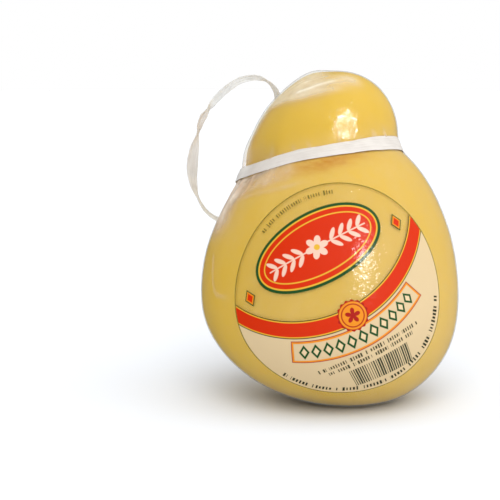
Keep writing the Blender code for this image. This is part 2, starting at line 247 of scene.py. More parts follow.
class Wire:
    """A shader value that Python's own operators work on, each by adding its Math node."""

    def __init__(self, nodes: "Nodes", socket: bpy.types.NodeSocket) -> None:
        """Wraps an output socket of a node tree."""
        self.nodes = nodes
        self.socket = socket

    __add__ = __radd__ = math_method("ADD", "Adds.")
    __sub__ = math_method("SUBTRACT", "Subtracts.")
    __rsub__ = math_method("SUBTRACT", "Is subtracted from a number.", swapped=True)
    __mul__ = __rmul__ = math_method("MULTIPLY", "Multiplies.")
    __truediv__ = math_method("DIVIDE", "Divides.")
    __pow__ = math_method("POWER", "Raises to a power.")
    __abs__ = math_method("ABSOLUTE", "Drops the sign.")
    __lt__ = math_method("LESS_THAN", "1 where it is less, otherwise 0.")
    __gt__ = math_method("GREATER_THAN", "1 where it is more, otherwise 0.")
    floor = math_method("FLOOR", "The whole number below.")
    fraction = math_method("FRACT", "What is left above the whole number below.")
    most = math_method("MAXIMUM", "The larger of two.")

    def clamped(self) -> "Wire":
        """Held between 0 and 1."""
        return self.nodes.math("ADD", self, 0.0, clamp=True)


@dataclass(frozen=True)
class Gloss:
    """A clear gloss over a finish.

    Attributes:
        level: The share of the light that it mirrors where it faces the viewer.
        edge: How much more it mirrors edge on.
        roughness: How rough it is.
        depth: The depth of its relief.
    """

    level: float
    edge: float
    roughness: float
    depth: float


class Nodes:
    """The node tree of a material or a sky, and the one method that adds a node to it."""

    EDGE_POWER = 6.0  # how suddenly a gloss rises towards the outline

    def __init__(self, owner: bpy.types.Material | bpy.types.World) -> None:
        """Starts from the shader that a new material or sky has."""
        owner.use_nodes = True
        self.owner = owner
        self.tree = owner.node_tree
        self.shader = self.tree.nodes[0]

    @classmethod
    def named(cls, name: str) -> "Nodes":
        """Starts a new material."""
        return cls(bpy.data.materials.new(name))

    def add(self, kind: str, settings: dict | None = None, values: dict | None = None) -> bpy.types.Node:
        """Adds a node.

        Args:
            kind: The node's type.
            settings: Its properties, which are set first.
            values: A number, vector, colour or Wire for each input, by name or number.

        Returns:
            The node.
        """
        node = self.tree.nodes.new(kind)
        for name, setting in (settings or {}).items():
            setattr(node, name, setting)
        for key, value in (values or {}).items():
            self._feed(node.inputs[key], value)
        return node

    def finish(self, values: dict) -> bpy.types.Material | bpy.types.World:
        """Sets the shader's sockets, and gives the material or sky."""
        for key, value in values.items():
            self._feed(self.shader.inputs[key], value)
        return self.owner

    def _feed(self, socket: bpy.types.NodeSocket, value: object) -> None:
        """Links a wire to a socket, or sets its value."""
        if isinstance(value, Wire):
            self.tree.links.new(value.socket, socket)
        elif socket.type == "RGBA" and len(value) == 3:
            socket.default_value = (*value, 1)
        else:
            socket.default_value = value

    def out(self, node: bpy.types.Node, name: str | int = 0) -> Wire:
        """A node's output, as a wire."""
        return Wire(self, node.outputs[name])

    def math(self, operation: str, *values: Wire | float, clamp: bool = False) -> Wire:
        """A Math node's result."""
        settings = {"operation": operation, "use_clamp": clamp}
        return self.out(self.add("ShaderNodeMath", settings, dict(enumerate(values))))

    def mix(self, share: Wire | float, first: Wire | Colour, second: Wire | Colour) -> Wire:
        """Two colours mixed: the first at share 0, the second at 1."""
        sockets = {0: share, 6: first, 7: second}
        return self.out(self.add("ShaderNodeMix", {"data_type": "RGBA"}, sockets), 2)

    def blend(self, share: Wire, first: float, second: float) -> Wire:
        """A number between two, by a share."""
        return share * (second - first) + first

    def place(self) -> Wire:
        """The point in the object's own coordinates."""
        return self.out(self.add("ShaderNodeTexCoord"), "Object")

    def painted(self, name: str) -> Wire:
        """A value that was kept for each point."""
        return self.out(self.add("ShaderNodeAttribute", {"attribute_name": name}), "Fac")

    def stretched(self, vector: Wire, scale: Sequence[float]) -> Wire:
        """A vector multiplied part by part."""
        settings = {"operation": "MULTIPLY"}
        return self.out(self.add("ShaderNodeVectorMath", settings, {0: vector, 1: tuple(scale)}))

    def turned(self, vector: Wire, turn: Sequence[float], scale: Sequence[float]) -> Wire:
        """A vector turned about the three axes and then scaled part by part."""
        flat = self.out(self.add("ShaderNodeMapping", {}, {0: vector, "Rotation": tuple(turn)}))
        return self.stretched(flat, scale)

    def clouds(self, vector: Wire, size: float, detail: float = 3, roughness: float = 0.5) -> Wire:
        """Soft noise from 0 to 1, whose patches are of a size."""
        values = {"Vector": vector, "Scale": 1 / size, "Detail": detail, "Roughness": roughness}
        return self.out(self.add("ShaderNodeTexNoise", {}, values), 0)

    def relief(self, height: Wire, depth: float) -> Wire:
        """A bump of a depth, where height goes from 0 to 1."""
        return self.out(self.add("ShaderNodeBump", {}, {"Height": height, "Distance": depth}))

    def split(self, vector: Wire) -> tuple[Wire, Wire, Wire]:
        """A vector's three parts."""
        node = self.add("ShaderNodeSeparateXYZ", {}, {0: vector})
        return self.out(node, 0), self.out(node, 1), self.out(node, 2)

    def gloss_over(self, gloss: Gloss, height: Wire) -> None:
        """Lays a clear gloss over the Principled shader, with a relief of its own."""
        edge_on = self.out(self.add("ShaderNodeLayerWeight", {}, {"Blend": 0.5}), "Facing")
        share = edge_on**self.EDGE_POWER * gloss.edge + gloss.level
        normal = self.relief(height, gloss.depth)
        shine = self.add("ShaderNodeBsdfGlossy", {}, {"Roughness": gloss.roughness, "Normal": normal})
        below = self.out(self.shader)
        mixed = self.add("ShaderNodeMixShader", {}, {0: share, 1: below, 2: self.out(shine)})
        self.tree.links.new(mixed.outputs[0], self.tree.nodes["Material Output"].inputs["Surface"])


# ---- finishes -----------------------------------------------------------------------------
@dataclass(frozen=True)
class CheeseFinish:
    """Smooth gold curd under the film, in slow clouds of paler and deeper yellow."""

    pale: Colour = seen(218, 184, 104)
    body: Colour = seen(212, 176, 76)
    deep: Colour = seen(215, 174, 30)
    # The colour of the painted shade just below the tape in front.
    under_tape_shade: Colour = seen(188, 126, 26)
    patch: float = 30 * MM
    patch_shape: Sequence[float] = (1.0, 1.0, 0.6)
    grain: float = 3.5 * MM
    streak_shape: Sequence[float] = (0.5, 0.5, 1.6)
    patch_pales: float = 2.0
    patch_deepens: float = 1.8
    grain_share: float = 1.2
    deep_gold_and_shade_share: float = 0.75
    streak_contrast: float = 2.4
    streak_start: float = 0.4

    def material(self) -> bpy.types.Material:
        """Makes the material."""
        nodes = Nodes.named("curd")
        place = nodes.place()
        patches = nodes.clouds(nodes.stretched(place, self.patch_shape), self.patch)
        grain = nodes.clouds(place, self.grain, detail=5, roughness=0.75)
        pale = ((patches - 0.5) * self.patch_pales + (grain - 0.5) * self.grain_share).clamped()
        deep = ((0.5 - patches) * self.patch_deepens + (0.5 - grain) * self.grain_share).clamped()
        colour = nodes.mix(deep, nodes.mix(pale, self.body, self.pale), self.deep)
        # The painted head value deepens the head above the tape, and lays painted shade on the lower left
        # flank.
        colour = nodes.mix(nodes.painted("head") * self.deep_gold_and_shade_share, colour, self.deep)
        # Painted shade just below the tape in front, broken into streaks.
        streaks = nodes.clouds(nodes.stretched(place, self.streak_shape), self.grain, detail=5, roughness=0.7)
        shaded_under_tape = nodes.painted("under_tape_shade") * (streaks * self.streak_contrast - self.streak_start)
        colour = nodes.mix(shaded_under_tape.clamped(), colour, self.under_tape_shade)
        return nodes.finish(
            {
                "Base Color": colour,
                "Roughness": 0.45,
                "Specular IOR Level": 0.12,
                "Subsurface Weight": 0.12,
                "Subsurface Radius": (1.0, 0.55, 0.2),
                "Subsurface Scale": 2.5 * MM,
            }
        )


@dataclass(frozen=True)
class FilmFinish:
    """Clear shrink film: a gloss where it hugs the cheese, and milky where it lifts or folds."""

    tone: Colour = seen(246, 246, 233)
    blush: Colour = seen(226, 198, 172)
    wisp: float = 6 * MM
    wisp_turn: Sequence[float] = (0.0, 0.9, 0.0)
    wisp_shape: Sequence[float] = (1.0, 1.0, 0.4)
    wisp_share: float = 1.1
    between_wisps: float = 0.45
    milky: float = 0.8
    blush_reach: float = 1.15
    crackle: float = 2.0 * MM
    glint: float = 1.1 * MM
    glint_share: float = 0.15
    crease: float = 5 * MM
    crease_sharpness: float = 9.0
    crease_clear: float = 0.15
    crease_milky: float = 0.5
    crease_depth: float = 0.06 * MM
    gloss: Gloss = Gloss(level=0.04, edge=0.5, roughness=0.11, depth=0.34 * MM)

    def material(self) -> bpy.types.Material:
        """Makes the material."""
        nodes = Nodes.named("shrink film")
        place = nodes.place()
        haze = nodes.painted("haze")
        drawn_out = nodes.turned(place, self.wisp_turn, self.wisp_shape)
        wisps = nodes.clouds(drawn_out, self.wisp, detail=5, roughness=0.6)
        crackle = nodes.clouds(place, self.crackle, detail=2)
        crackle = crackle + nodes.clouds(place, self.glint, detail=2, roughness=0.6) * self.glint_share
        lines = 1.0 - abs(nodes.clouds(place, self.crease) - 0.5) * self.crease_sharpness
        creases = lines.clamped() * (haze * self.crease_milky + self.crease_clear)
        cover = haze * (wisps * self.wisp_share + self.between_wisps) * self.milky
        blushed = (self.blush_reach - wisps) * nodes.painted("blush")
        material = nodes.finish(
            {
                "Base Color": nodes.mix(blushed, self.tone, self.blush),
                "Roughness": 0.5,
                "Specular IOR Level": 0.0,
                "Alpha": cover.clamped(),
                "Normal": nodes.relief(creases, self.crease_depth),
            }
        )
        nodes.gloss_over(self.gloss, crackle + creases)
        return material


@dataclass(frozen=True)
class TapeFinish:
    """Flat white polypropylene tape, with fibres drawn out along it."""

    white: Colour = seen(234, 234, 231)
    grey: Colour = seen(200, 199, 196)
    # The warm grey that the tape's tint and painted shade mix in.
    shade_and_tint: Colour = seen(207, 194, 182)
    fibre: float = 0.5 * MM
    run: float = 12 * MM
    ridge: float = 0.12 * MM
    cloud: float = 5 * MM
    fibre_contrast: float = 2.2
    cloud_contrast: float = 1.2
    greyness: float = 0.35

    def material(self) -> bpy.types.Material:
        """Makes the material, on a UV map whose U runs along the tape, in metres."""
        nodes = Nodes.named("white tape")
        flat = nodes.out(nodes.add("ShaderNodeTexCoord"), "UV")
        drawn = nodes.stretched(flat, (1 / self.run, 1 / self.fibre, 1.0))
        fibres = nodes.clouds(drawn, 1.0, roughness=0.6)
        cloud = nodes.clouds(nodes.place(), self.cloud, detail=2)
        shade = (fibres - 0.5) * self.fibre_contrast + (cloud - 0.5) * self.cloud_contrast + self.greyness
        fresh = nodes.mix(shade.clamped(), self.white, self.grey)
        return nodes.finish(
            {
                # The painted share mixes in the warm grey: a tint along the band, and painted shade on the
                # loop's creased and turned stretches.
                "Base Color": nodes.mix(nodes.painted("shade_and_tint"), fresh, self.shade_and_tint),
                "Roughness": nodes.blend(fibres, first=0.38, second=0.6),
                "Normal": nodes.relief(fibres, self.ridge),
                "Subsurface Weight": 0.25,
                "Subsurface Radius": (1.0, 1.0, 1.0),
                "Subsurface Scale": 0.6 * MM,
            }
        )


class Ink(Enum):
    """The printing inks, as they are seen."""

    RED = (209, 45, 2)
    DEEP_RED = (168, 26, 14)
    ORANGE = (230, 140, 28)
    GOLD = (226, 176, 52)
    GREEN = (24, 74, 34)
    DARK = (36, 46, 26)
    OLIVE = (104, 96, 30)
    CREAM = (228, 203, 160)
    BLUSH = (236, 198, 176)

    @property
    def colour(self) -> Colour:
        """The ink's linear colour."""
        return seen(*self.value)


Coats = tuple[tuple[Ink, float], ...]  # inks of one shape, each with how far out it reaches


@dataclass(frozen=True)
class Strokes:
    """Short upright strokes in uneven groups, like small print, that spell nothing."""

    pitch: float
    height: float
    seed: float
    ink: Ink = Ink.DARK
    cover: float = 0.97


@dataclass(frozen=True)
class Bars:
    """A block of upright bars that encodes nothing: its middle, half its size, and their number."""

    middle: Pair
    half: Pair
    count: int


class Print:
    """Coats of ink laid one on another over a label's stock, each through a mask."""

    SOFT = 0.006  # of an ink's edge, as a share of the label's half width
    THIN_STROKE, STROKE_SPREAD = 0.2, 0.16  # half widths in a pitch
    SHORT_STROKE, TALL_SPREAD = 0.32, 0.18  # half heights in a row
    GROUP = 6.0  # strokes to a group
    GROUP_DRIFT, SPACE = 0.2, 0.6
    THIN_BAR, BAR_SPREAD = 0.14, 0.26
    CRACKLE = 2.0 * MM
    GLOSS = Gloss(level=0.035, edge=0.4, roughness=0.16, depth=0.19 * MM)

    def __init__(self, name: str, ground: Colour, cover: float) -> None:
        """Starts with the bare stock's tint and how much it covers."""
        self.nodes = Nodes.named(name)
        flat = self.nodes.out(self.nodes.add("ShaderNodeTexCoord"), "UV")
        across, along, _ = self.nodes.split(flat)
        self.x = across * 2.0 - 1.0
        self.y = along * 2.0 - 1.0
        self.colour: Wire | Colour = ground
        self.cover: Wire | float = cover

    def inside(self, distance: Wire) -> Wire:
        """A mask of where a signed distance is below 0."""
        return (0.5 - distance / self.SOFT).clamped()

    def line(self, distance: Wire, half_width: float) -> Wire:
        """A mask along the line where a distance is 0."""
        return self.inside(abs(distance) - half_width)

    def length(self, x: Wire, y: Wire) -> Wire:
        """How long (x, y) is."""
        return self.nodes.math("SQRT", x * x + y * y)

    def angle(self, y: Wire, x: Wire) -> Wire:
        """The angle of (x, y) from the way in which x grows, in radians."""
        return self.nodes.math("ARCTAN2", y, x)

    def waves(self, angle: Wire, count: float) -> Wire:
        """A cosine with a number of waves to the turn."""
        return self.nodes.math("COSINE", angle * count)

    def oval(self, x: Wire, y: Wire, wide: float, high: float) -> Wire:
        """The distance from an oval round the origin."""
        reach = self.length(x / wide, y / high)
        slope = self.length(x / wide**2, y / high**2)
        return reach * (reach - 1.0) / slope.most(0.001)

    def lozenge(self, x: Wire, y: Wire, wide: float, high: float) -> Wire:
        """The distance from a lozenge round the origin."""
        return (abs(x) / wide + abs(y) / high - 1.0) * min(wide, high)

    def chance(self, cell: Wire, seed: float) -> Wire:
        """A number from 0 to 1 for each whole number."""
        settings = {"noise_dimensions": "1D"}
        return self.nodes.out(self.nodes.add("ShaderNodeTexWhiteNoise", settings, {"W": cell + seed}), 0)

    def write(self, along: Wire, across: Wire, strokes: Strokes, within: Wire, row: int = 0) -> None:
        """Lays a row of strokes where a mask says; each row has its own."""
        steps, seed = along / strokes.pitch, strokes.seed + row
        stroke = self.chance(steps.floor(), seed)
        half = stroke * self.STROKE_SPREAD
        filled = self.inside((abs(steps.fraction() - 0.5) - half - self.THIN_STROKE) * strokes.pitch)
        groups = steps / self.GROUP
        gap = self.chance((groups + stroke * self.GROUP_DRIFT).floor(), seed + 0.5) * self.GROUP
        spaced = abs(groups.fraction() * self.GROUP - gap) > self.SPACE
        tall = self.chance(steps.floor(), seed + 0.3) * self.TALL_SPREAD + self.SHORT_STROKE
        mask = self.inside(abs(across) - tall * strokes.height) * filled * spaced
        self.ink(mask * within, strokes.ink, strokes.cover)

    def lay_bars(self, x: Wire, y: Wire, bars: Bars) -> None:
        """Lays a block of bars of uneven widths."""
        wide, high = bars.half
        along, across = x - bars.middle[0], y - bars.middle[1]
        steps = along / (2 * wide) * bars.count
        width = self.chance(steps.floor(), 3.0) * self.BAR_SPREAD + self.THIN_BAR
        bar = self.inside((abs(steps.fraction() - 0.5) - width) * (2 * wide / bars.count))
        self.ink(self.inside((abs(along) - wide).most(abs(across) - high)) * bar, Ink.DARK)

    def ink(self, mask: Wire, ink: Ink, cover: float = 0.97) -> None:
        """Lays a coat of ink where a mask says."""
        self.colour = self.nodes.mix(mask, self.colour, ink.colour)
        if isinstance(self.cover, Wire):
            self.cover = self.cover + mask * (cover - self.cover)
        else:
            self.cover = mask * (cover - self.cover) + self.cover

    def nest(self, distance: Wire, coats: Coats, within: Wire | float = 1.0) -> None:
        """Lays coats of one shape one on another, each as far out as it reaches."""
        for ink, reach in coats:
            self.ink(self.inside(distance - reach) * within, ink)

    def material(self) -> bpy.types.Material:
        """Makes the material: the inks under the gloss of a laminated label."""
        nodes = self.nodes
        finish = {"Base Color": self.colour, "Alpha": self.cover, "Roughness": 0.5}
        material = nodes.finish({**finish, "Specular IOR Level": 0.0})
        nodes.gloss_over(self.GLOSS, nodes.clouds(nodes.place(), self.CRACKLE, detail=2, roughness=0.6))
        return material


@dataclass(frozen=True)
class FrontPrint:
    """The round label: clear above a curved red ribbon and cream below, with a red medallion.

    Measures are shares of the label's radius, and places are counted from its middle.
    """

    tint: Colour = seen(240, 200, 84)
    clear: float = 0.03
    fine: float = 0.006  # half of a fine line
    rim: float = 0.989
    rim_line: float = 0.005
    swag_middle: float = 0.98  # what the ribbon, the cream and the row of gems curve round
    cream_from: float = 1.25
    cream_cover: float = 0.84
    ribbon_reach: float = 1.185
    ribbon: Coats = ((Ink.DARK, 0.078), (Ink.GOLD, 0.070), (Ink.RED, 0.060))
    medallion_up: float = 0.45
    medallion_half: Pair = (0.56, 0.28)
    medallion: Coats = ((Ink.GREEN, 0.045), (Ink.GOLD, 0.018), (Ink.RED, 0.004))
    medallion_line: float = -0.045
    stem: Pair = (0.13, 0.47)
    leaves: float = 4.0
    leaf_pitch: float = 0.085
    leaf_slant: float = math.radians(48)
    leaf_out: float = 0.062
    leaf_half: Pair = (0.056, 0.019)
    petals: float = 3.0
    petal_start: float = 0.055
    petal_length: float = 0.05
    rosette_eye: float = 0.026
    seal_down: float = 0.205
    seal_reach: float = 0.132
    scallops: float = 16.0
    scallop_height: float = 0.006
    seal_disc: float = 0.118
    seal_line: float = 0.096
    star_turns: float = 2.5
    star_start: float = 0.022
    star_length: float = 0.045
    gem_reach: float = 1.385
    gem_step: float = 0.076  # radians round the ribbon's middle
    gem_arc: float = 1.38
    gem_count: int = 11
    gem_half: Pair = (0.047, 0.068)
    gem: Coats = ((Ink.GREEN, 0.0), (Ink.CREAM, -0.022))
    frame_half: float = 0.088
    frame_turn: float = 0.452
    frame_line: float = 0.008
    frame_outline: Pair = (0.011, 0.004)
    frame_edge: float = 0.95
    side_gem_place: Pair = (0.745, 0.34)
    side_gem_half: Pair = (0.058, 0.085)
    side_gem: Coats = ((Ink.GREEN, 0.0), (Ink.ORANGE, -0.012), (Ink.RED, -0.026))
    rows: tuple[Pair, ...] = ((-0.545, 0.50), (-0.60, 0.42))  # how high and how far out each is
    text: Strokes = Strokes(0.024, 0.042, seed=11.0, cover=0.8)
    bars: Bars = Bars((0.04, -0.755), (0.29, 0.105), 27)
    low_rim: float = 0.93
    low_rim_from: float = 2.05  # radians from the top
    low_text: Strokes = Strokes(0.036, 0.058, seed=23.0, cover=0.9)
    high_rim: float = 0.905
    high_rim_to: float = 0.42
    high_text: Strokes = Strokes(0.026, 0.05, seed=31.0, ink=Ink.OLIVE, cover=0.8)

    def material(self) -> bpy.types.Material:
        """Makes the material."""
        coat = Print("front print", self.tint, self.clear)
        edge = coat.length(coat.x, coat.y)
        swag = coat.length(coat.x, coat.y - self.swag_middle)
        self._lay_fields(coat, edge, swag)
        self._lay_medallion(coat)
        self._lay_gems(coat, edge, swag)
        self._lay_seal(coat)
        self._lay_small_print(coat, edge)
        return coat.material()

    def _lay_fields(self, coat: Print, edge: Wire, swag: Wire) -> None:
        """The cream field, the curved ribbon with its keylines, and the ring round it all."""
        within = coat.inside(edge - self.rim)
        coat.ink(coat.inside(self.cream_from - swag) * within, Ink.CREAM, self.cream_cover)
        coat.nest(abs(swag - self.ribbon_reach), self.ribbon, within)
        coat.ink(coat.line(edge - self.rim, self.rim_line), Ink.OLIVE)

    def _lay_medallion(self, coat: Print) -> None:
        """A red oval in gold and green lines, with a rosette and leafy sprigs."""
        x, y = coat.x, coat.y - self.medallion_up
        oval = coat.oval(x, y, *self.medallion_half)
        coat.nest(oval, self.medallion)
        coat.ink(coat.line(oval - self.medallion_line, self.fine), Ink.GOLD)
        start, end = self.stem
        run = (abs(x) - start) / self.leaf_pitch
        on_stem = (run > 0.0) * (run < self.leaves)
        step, rise = run.fraction() * self.leaf_pitch, abs(y)
        level, steep = math.cos(self.leaf_slant), math.sin(self.leaf_slant)
        leaf_x = step * level + rise * steep - self.leaf_out
        leaf = coat.oval(leaf_x, rise * level - step * steep, *self.leaf_half)
        coat.ink(coat.inside(leaf) * on_stem, Ink.BLUSH)
        coat.ink(coat.line(y, self.fine) * (abs(x) < end), Ink.BLUSH)
        petals = abs(coat.waves(coat.angle(y, x), self.petals)) * self.petal_length
        coat.ink(coat.inside(coat.length(x, y) - petals - self.petal_start), Ink.BLUSH)
        coat.ink(coat.inside(coat.length(x, y) - self.rosette_eye), Ink.GOLD)

    def _lay_seal(self, coat: Print) -> None:
        """An orange roundel on the middle of the ribbon."""
        y = coat.y + self.seal_down
        reach, turn = coat.length(coat.x, y), coat.angle(y, coat.x)
        scallop = coat.waves(turn, self.scallops) * self.scallop_height
        coat.ink(coat.inside(reach - self.seal_reach - scallop), Ink.DEEP_RED)
        coat.ink(coat.inside(reach - self.seal_disc), Ink.ORANGE)
        coat.ink(coat.line(reach - self.seal_line, self.rim_line), Ink.DEEP_RED)
        star = abs(coat.waves(turn, self.star_turns)) * self.star_length
        coat.ink(coat.inside(reach - star - self.star_start), Ink.DEEP_RED)

    def _lay_gems(self, coat: Print, edge: Wire, swag: Wire) -> None:
        """A framed row of green lozenges under the ribbon, and a red one on each side of the medallion."""
        turn = coat.angle(coat.x, self.swag_middle - coat.y)
        along = ((turn / self.gem_step + 0.5).fraction() - 0.5) * (self.gem_step * self.gem_arc)
        row = abs(turn) < self.gem_step * self.gem_count / 2
        coat.nest(coat.lozenge(along, swag - self.gem_reach, *self.gem_half), self.gem, row)
        within = coat.inside(edge - self.frame_edge)
        ends = (abs(turn) - self.frame_turn) * self.gem_arc
        frame_edge = (abs(swag - self.gem_reach) - self.frame_half).most(ends)
        coat.ink(coat.line(frame_edge, self.frame_line) * within, Ink.ORANGE)
        out, half = self.frame_outline
        coat.ink(coat.line(frame_edge - out, half) * within, Ink.DEEP_RED)
        across, up = self.side_gem_place
        coat.nest(coat.lozenge(abs(coat.x) - across, coat.y - up, *self.side_gem_half), self.side_gem)

    def _lay_small_print(self, coat: Print, edge: Wire) -> None:
        """Strokes where fine print would be, and a block of bars."""
        for row, (up, reach) in enumerate(self.rows):
            coat.write(coat.x, coat.y - up, self.text, abs(coat.x) < reach, row)
        coat.lay_bars(coat.x, coat.y, self.bars)
        turn = coat.angle(coat.x, coat.y)
        coat.write(turn, edge - self.low_rim, self.low_text, abs(turn) > self.low_rim_from)
        coat.write(turn, edge - self.high_rim, self.high_text, abs(turn) < self.high_rim_to)


@dataclass(frozen=True)
class BackPrint:
    """The rectangular label: cream stock with a green keyline, a red head, rows of strokes and bars.

    The stock's sizes are real ones; the print's are shares of half its width, from its middle.
    """

    stock: Colour = seen(222, 206, 170)
    cover: float = 0.97
    wide: float = 58 * MM
    high: float = 44 * MM
    corner: float = 7 * MM
    keyline: float = -0.045
    line: float = 0.008
    head_up: float = 0.49
    head_half: float = 0.085
    head_reach: float = 0.82
    head_line: float = 0.098
    head_line_half: float = 0.004
    gem_pitch: float = 0.14
    gem_half: Pair = (0.04, 0.05)
    gem_reach: float = 0.63
    row_up: float = 0.27
    row_step: float = 0.092
    row_reaches: tuple[float, ...] = (0.8, 0.8, 0.8, 0.8, 0.45)
    text: Strokes = Strokes(0.032, 0.056, seed=41.0)
    bars: Bars = Bars((0.33, -0.42), (0.4, 0.16), 31)
    seal_place: Pair = (-0.56, -0.43)
    seal_reach: float = 0.15
    seal_line: float = 0.12

    def material(self) -> bpy.types.Material:
        """Makes the material."""
        coat = Print("back print", self.stock, self.cover)
        squash = self.high / self.wide
        x, y = coat.x, coat.y * squash
        corner = self.corner / (self.wide / 2)
        out_x = (abs(x) - (1 - corner)).most(0.0)
        out_y = (abs(y) - (squash - corner)).most(0.0)
        edge = coat.length(out_x, out_y) - corner
        coat.ink(coat.line(edge - self.keyline, self.line), Ink.GREEN)
        self._lay_head(coat, x, y - self.head_up)
        for row, reach in enumerate(self.row_reaches):
            coat.write(x, y - (self.row_up - self.row_step * row), self.text, abs(x) < reach, row)
        coat.lay_bars(x, y, self.bars)
        across, up = self.seal_place
        seal = coat.length(x - across, y - up)
        coat.ink(coat.inside(seal - self.seal_reach), Ink.ORANGE)
        coat.ink(coat.line(seal - self.seal_line, self.line), Ink.DEEP_RED)
        return coat.material()

    def _lay_head(self, coat: Print, x: Wire, y: Wire) -> None:
        """The red head with its gold lines and a row of pale lozenges."""
        within = abs(x) < self.head_reach
        coat.ink(coat.line(y, self.head_half) * within, Ink.RED)
        coat.ink(coat.line(abs(y) - self.head_line, self.head_line_half) * within, Ink.GOLD)
        along = ((x / self.gem_pitch + 0.5).fraction() - 0.5) * self.gem_pitch
        coat.ink(coat.inside(coat.lozenge(along, y, *self.gem_half)) * (abs(x) < self.gem_reach), Ink.BLUSH)


# ---- the view -----------------------------------------------------------------------------
@dataclass(frozen=True)
class Shine:
    """A small studio light that only shows in the film's gloss.

    Attributes:
        name: The light's name.
        target: The middle of the patch that it lights, in millimetres.
        around, above: Where it stands, in degrees right of the front and above level.
        energy: Its power in watts.
        cone: How wide its beam is, in degrees.
        radius: How large the lamp is; a small one gives a bright core and a large one a halo.
        distance: How far it stands from the patch.
        blend: How soft the beam's edge is, from 0 to 1.
    """

    name: str
    target: Vector
    around: float
    above: float
    energy: float
    cone: float
    radius: float
    distance: float = 220 * MM
    blend: float = 0.4


@dataclass(frozen=True)
class Sun:
    """A soft light from far away.

    Attributes:
        name: The light's name.
        around, above: Where it stands, in degrees right of the front and above level.
        energy: Its power, in watts to the square metre.
        spread: How wide it looks, in degrees.
    """

    name: str
    around: float
    above: float
    energy: float
    spread: float


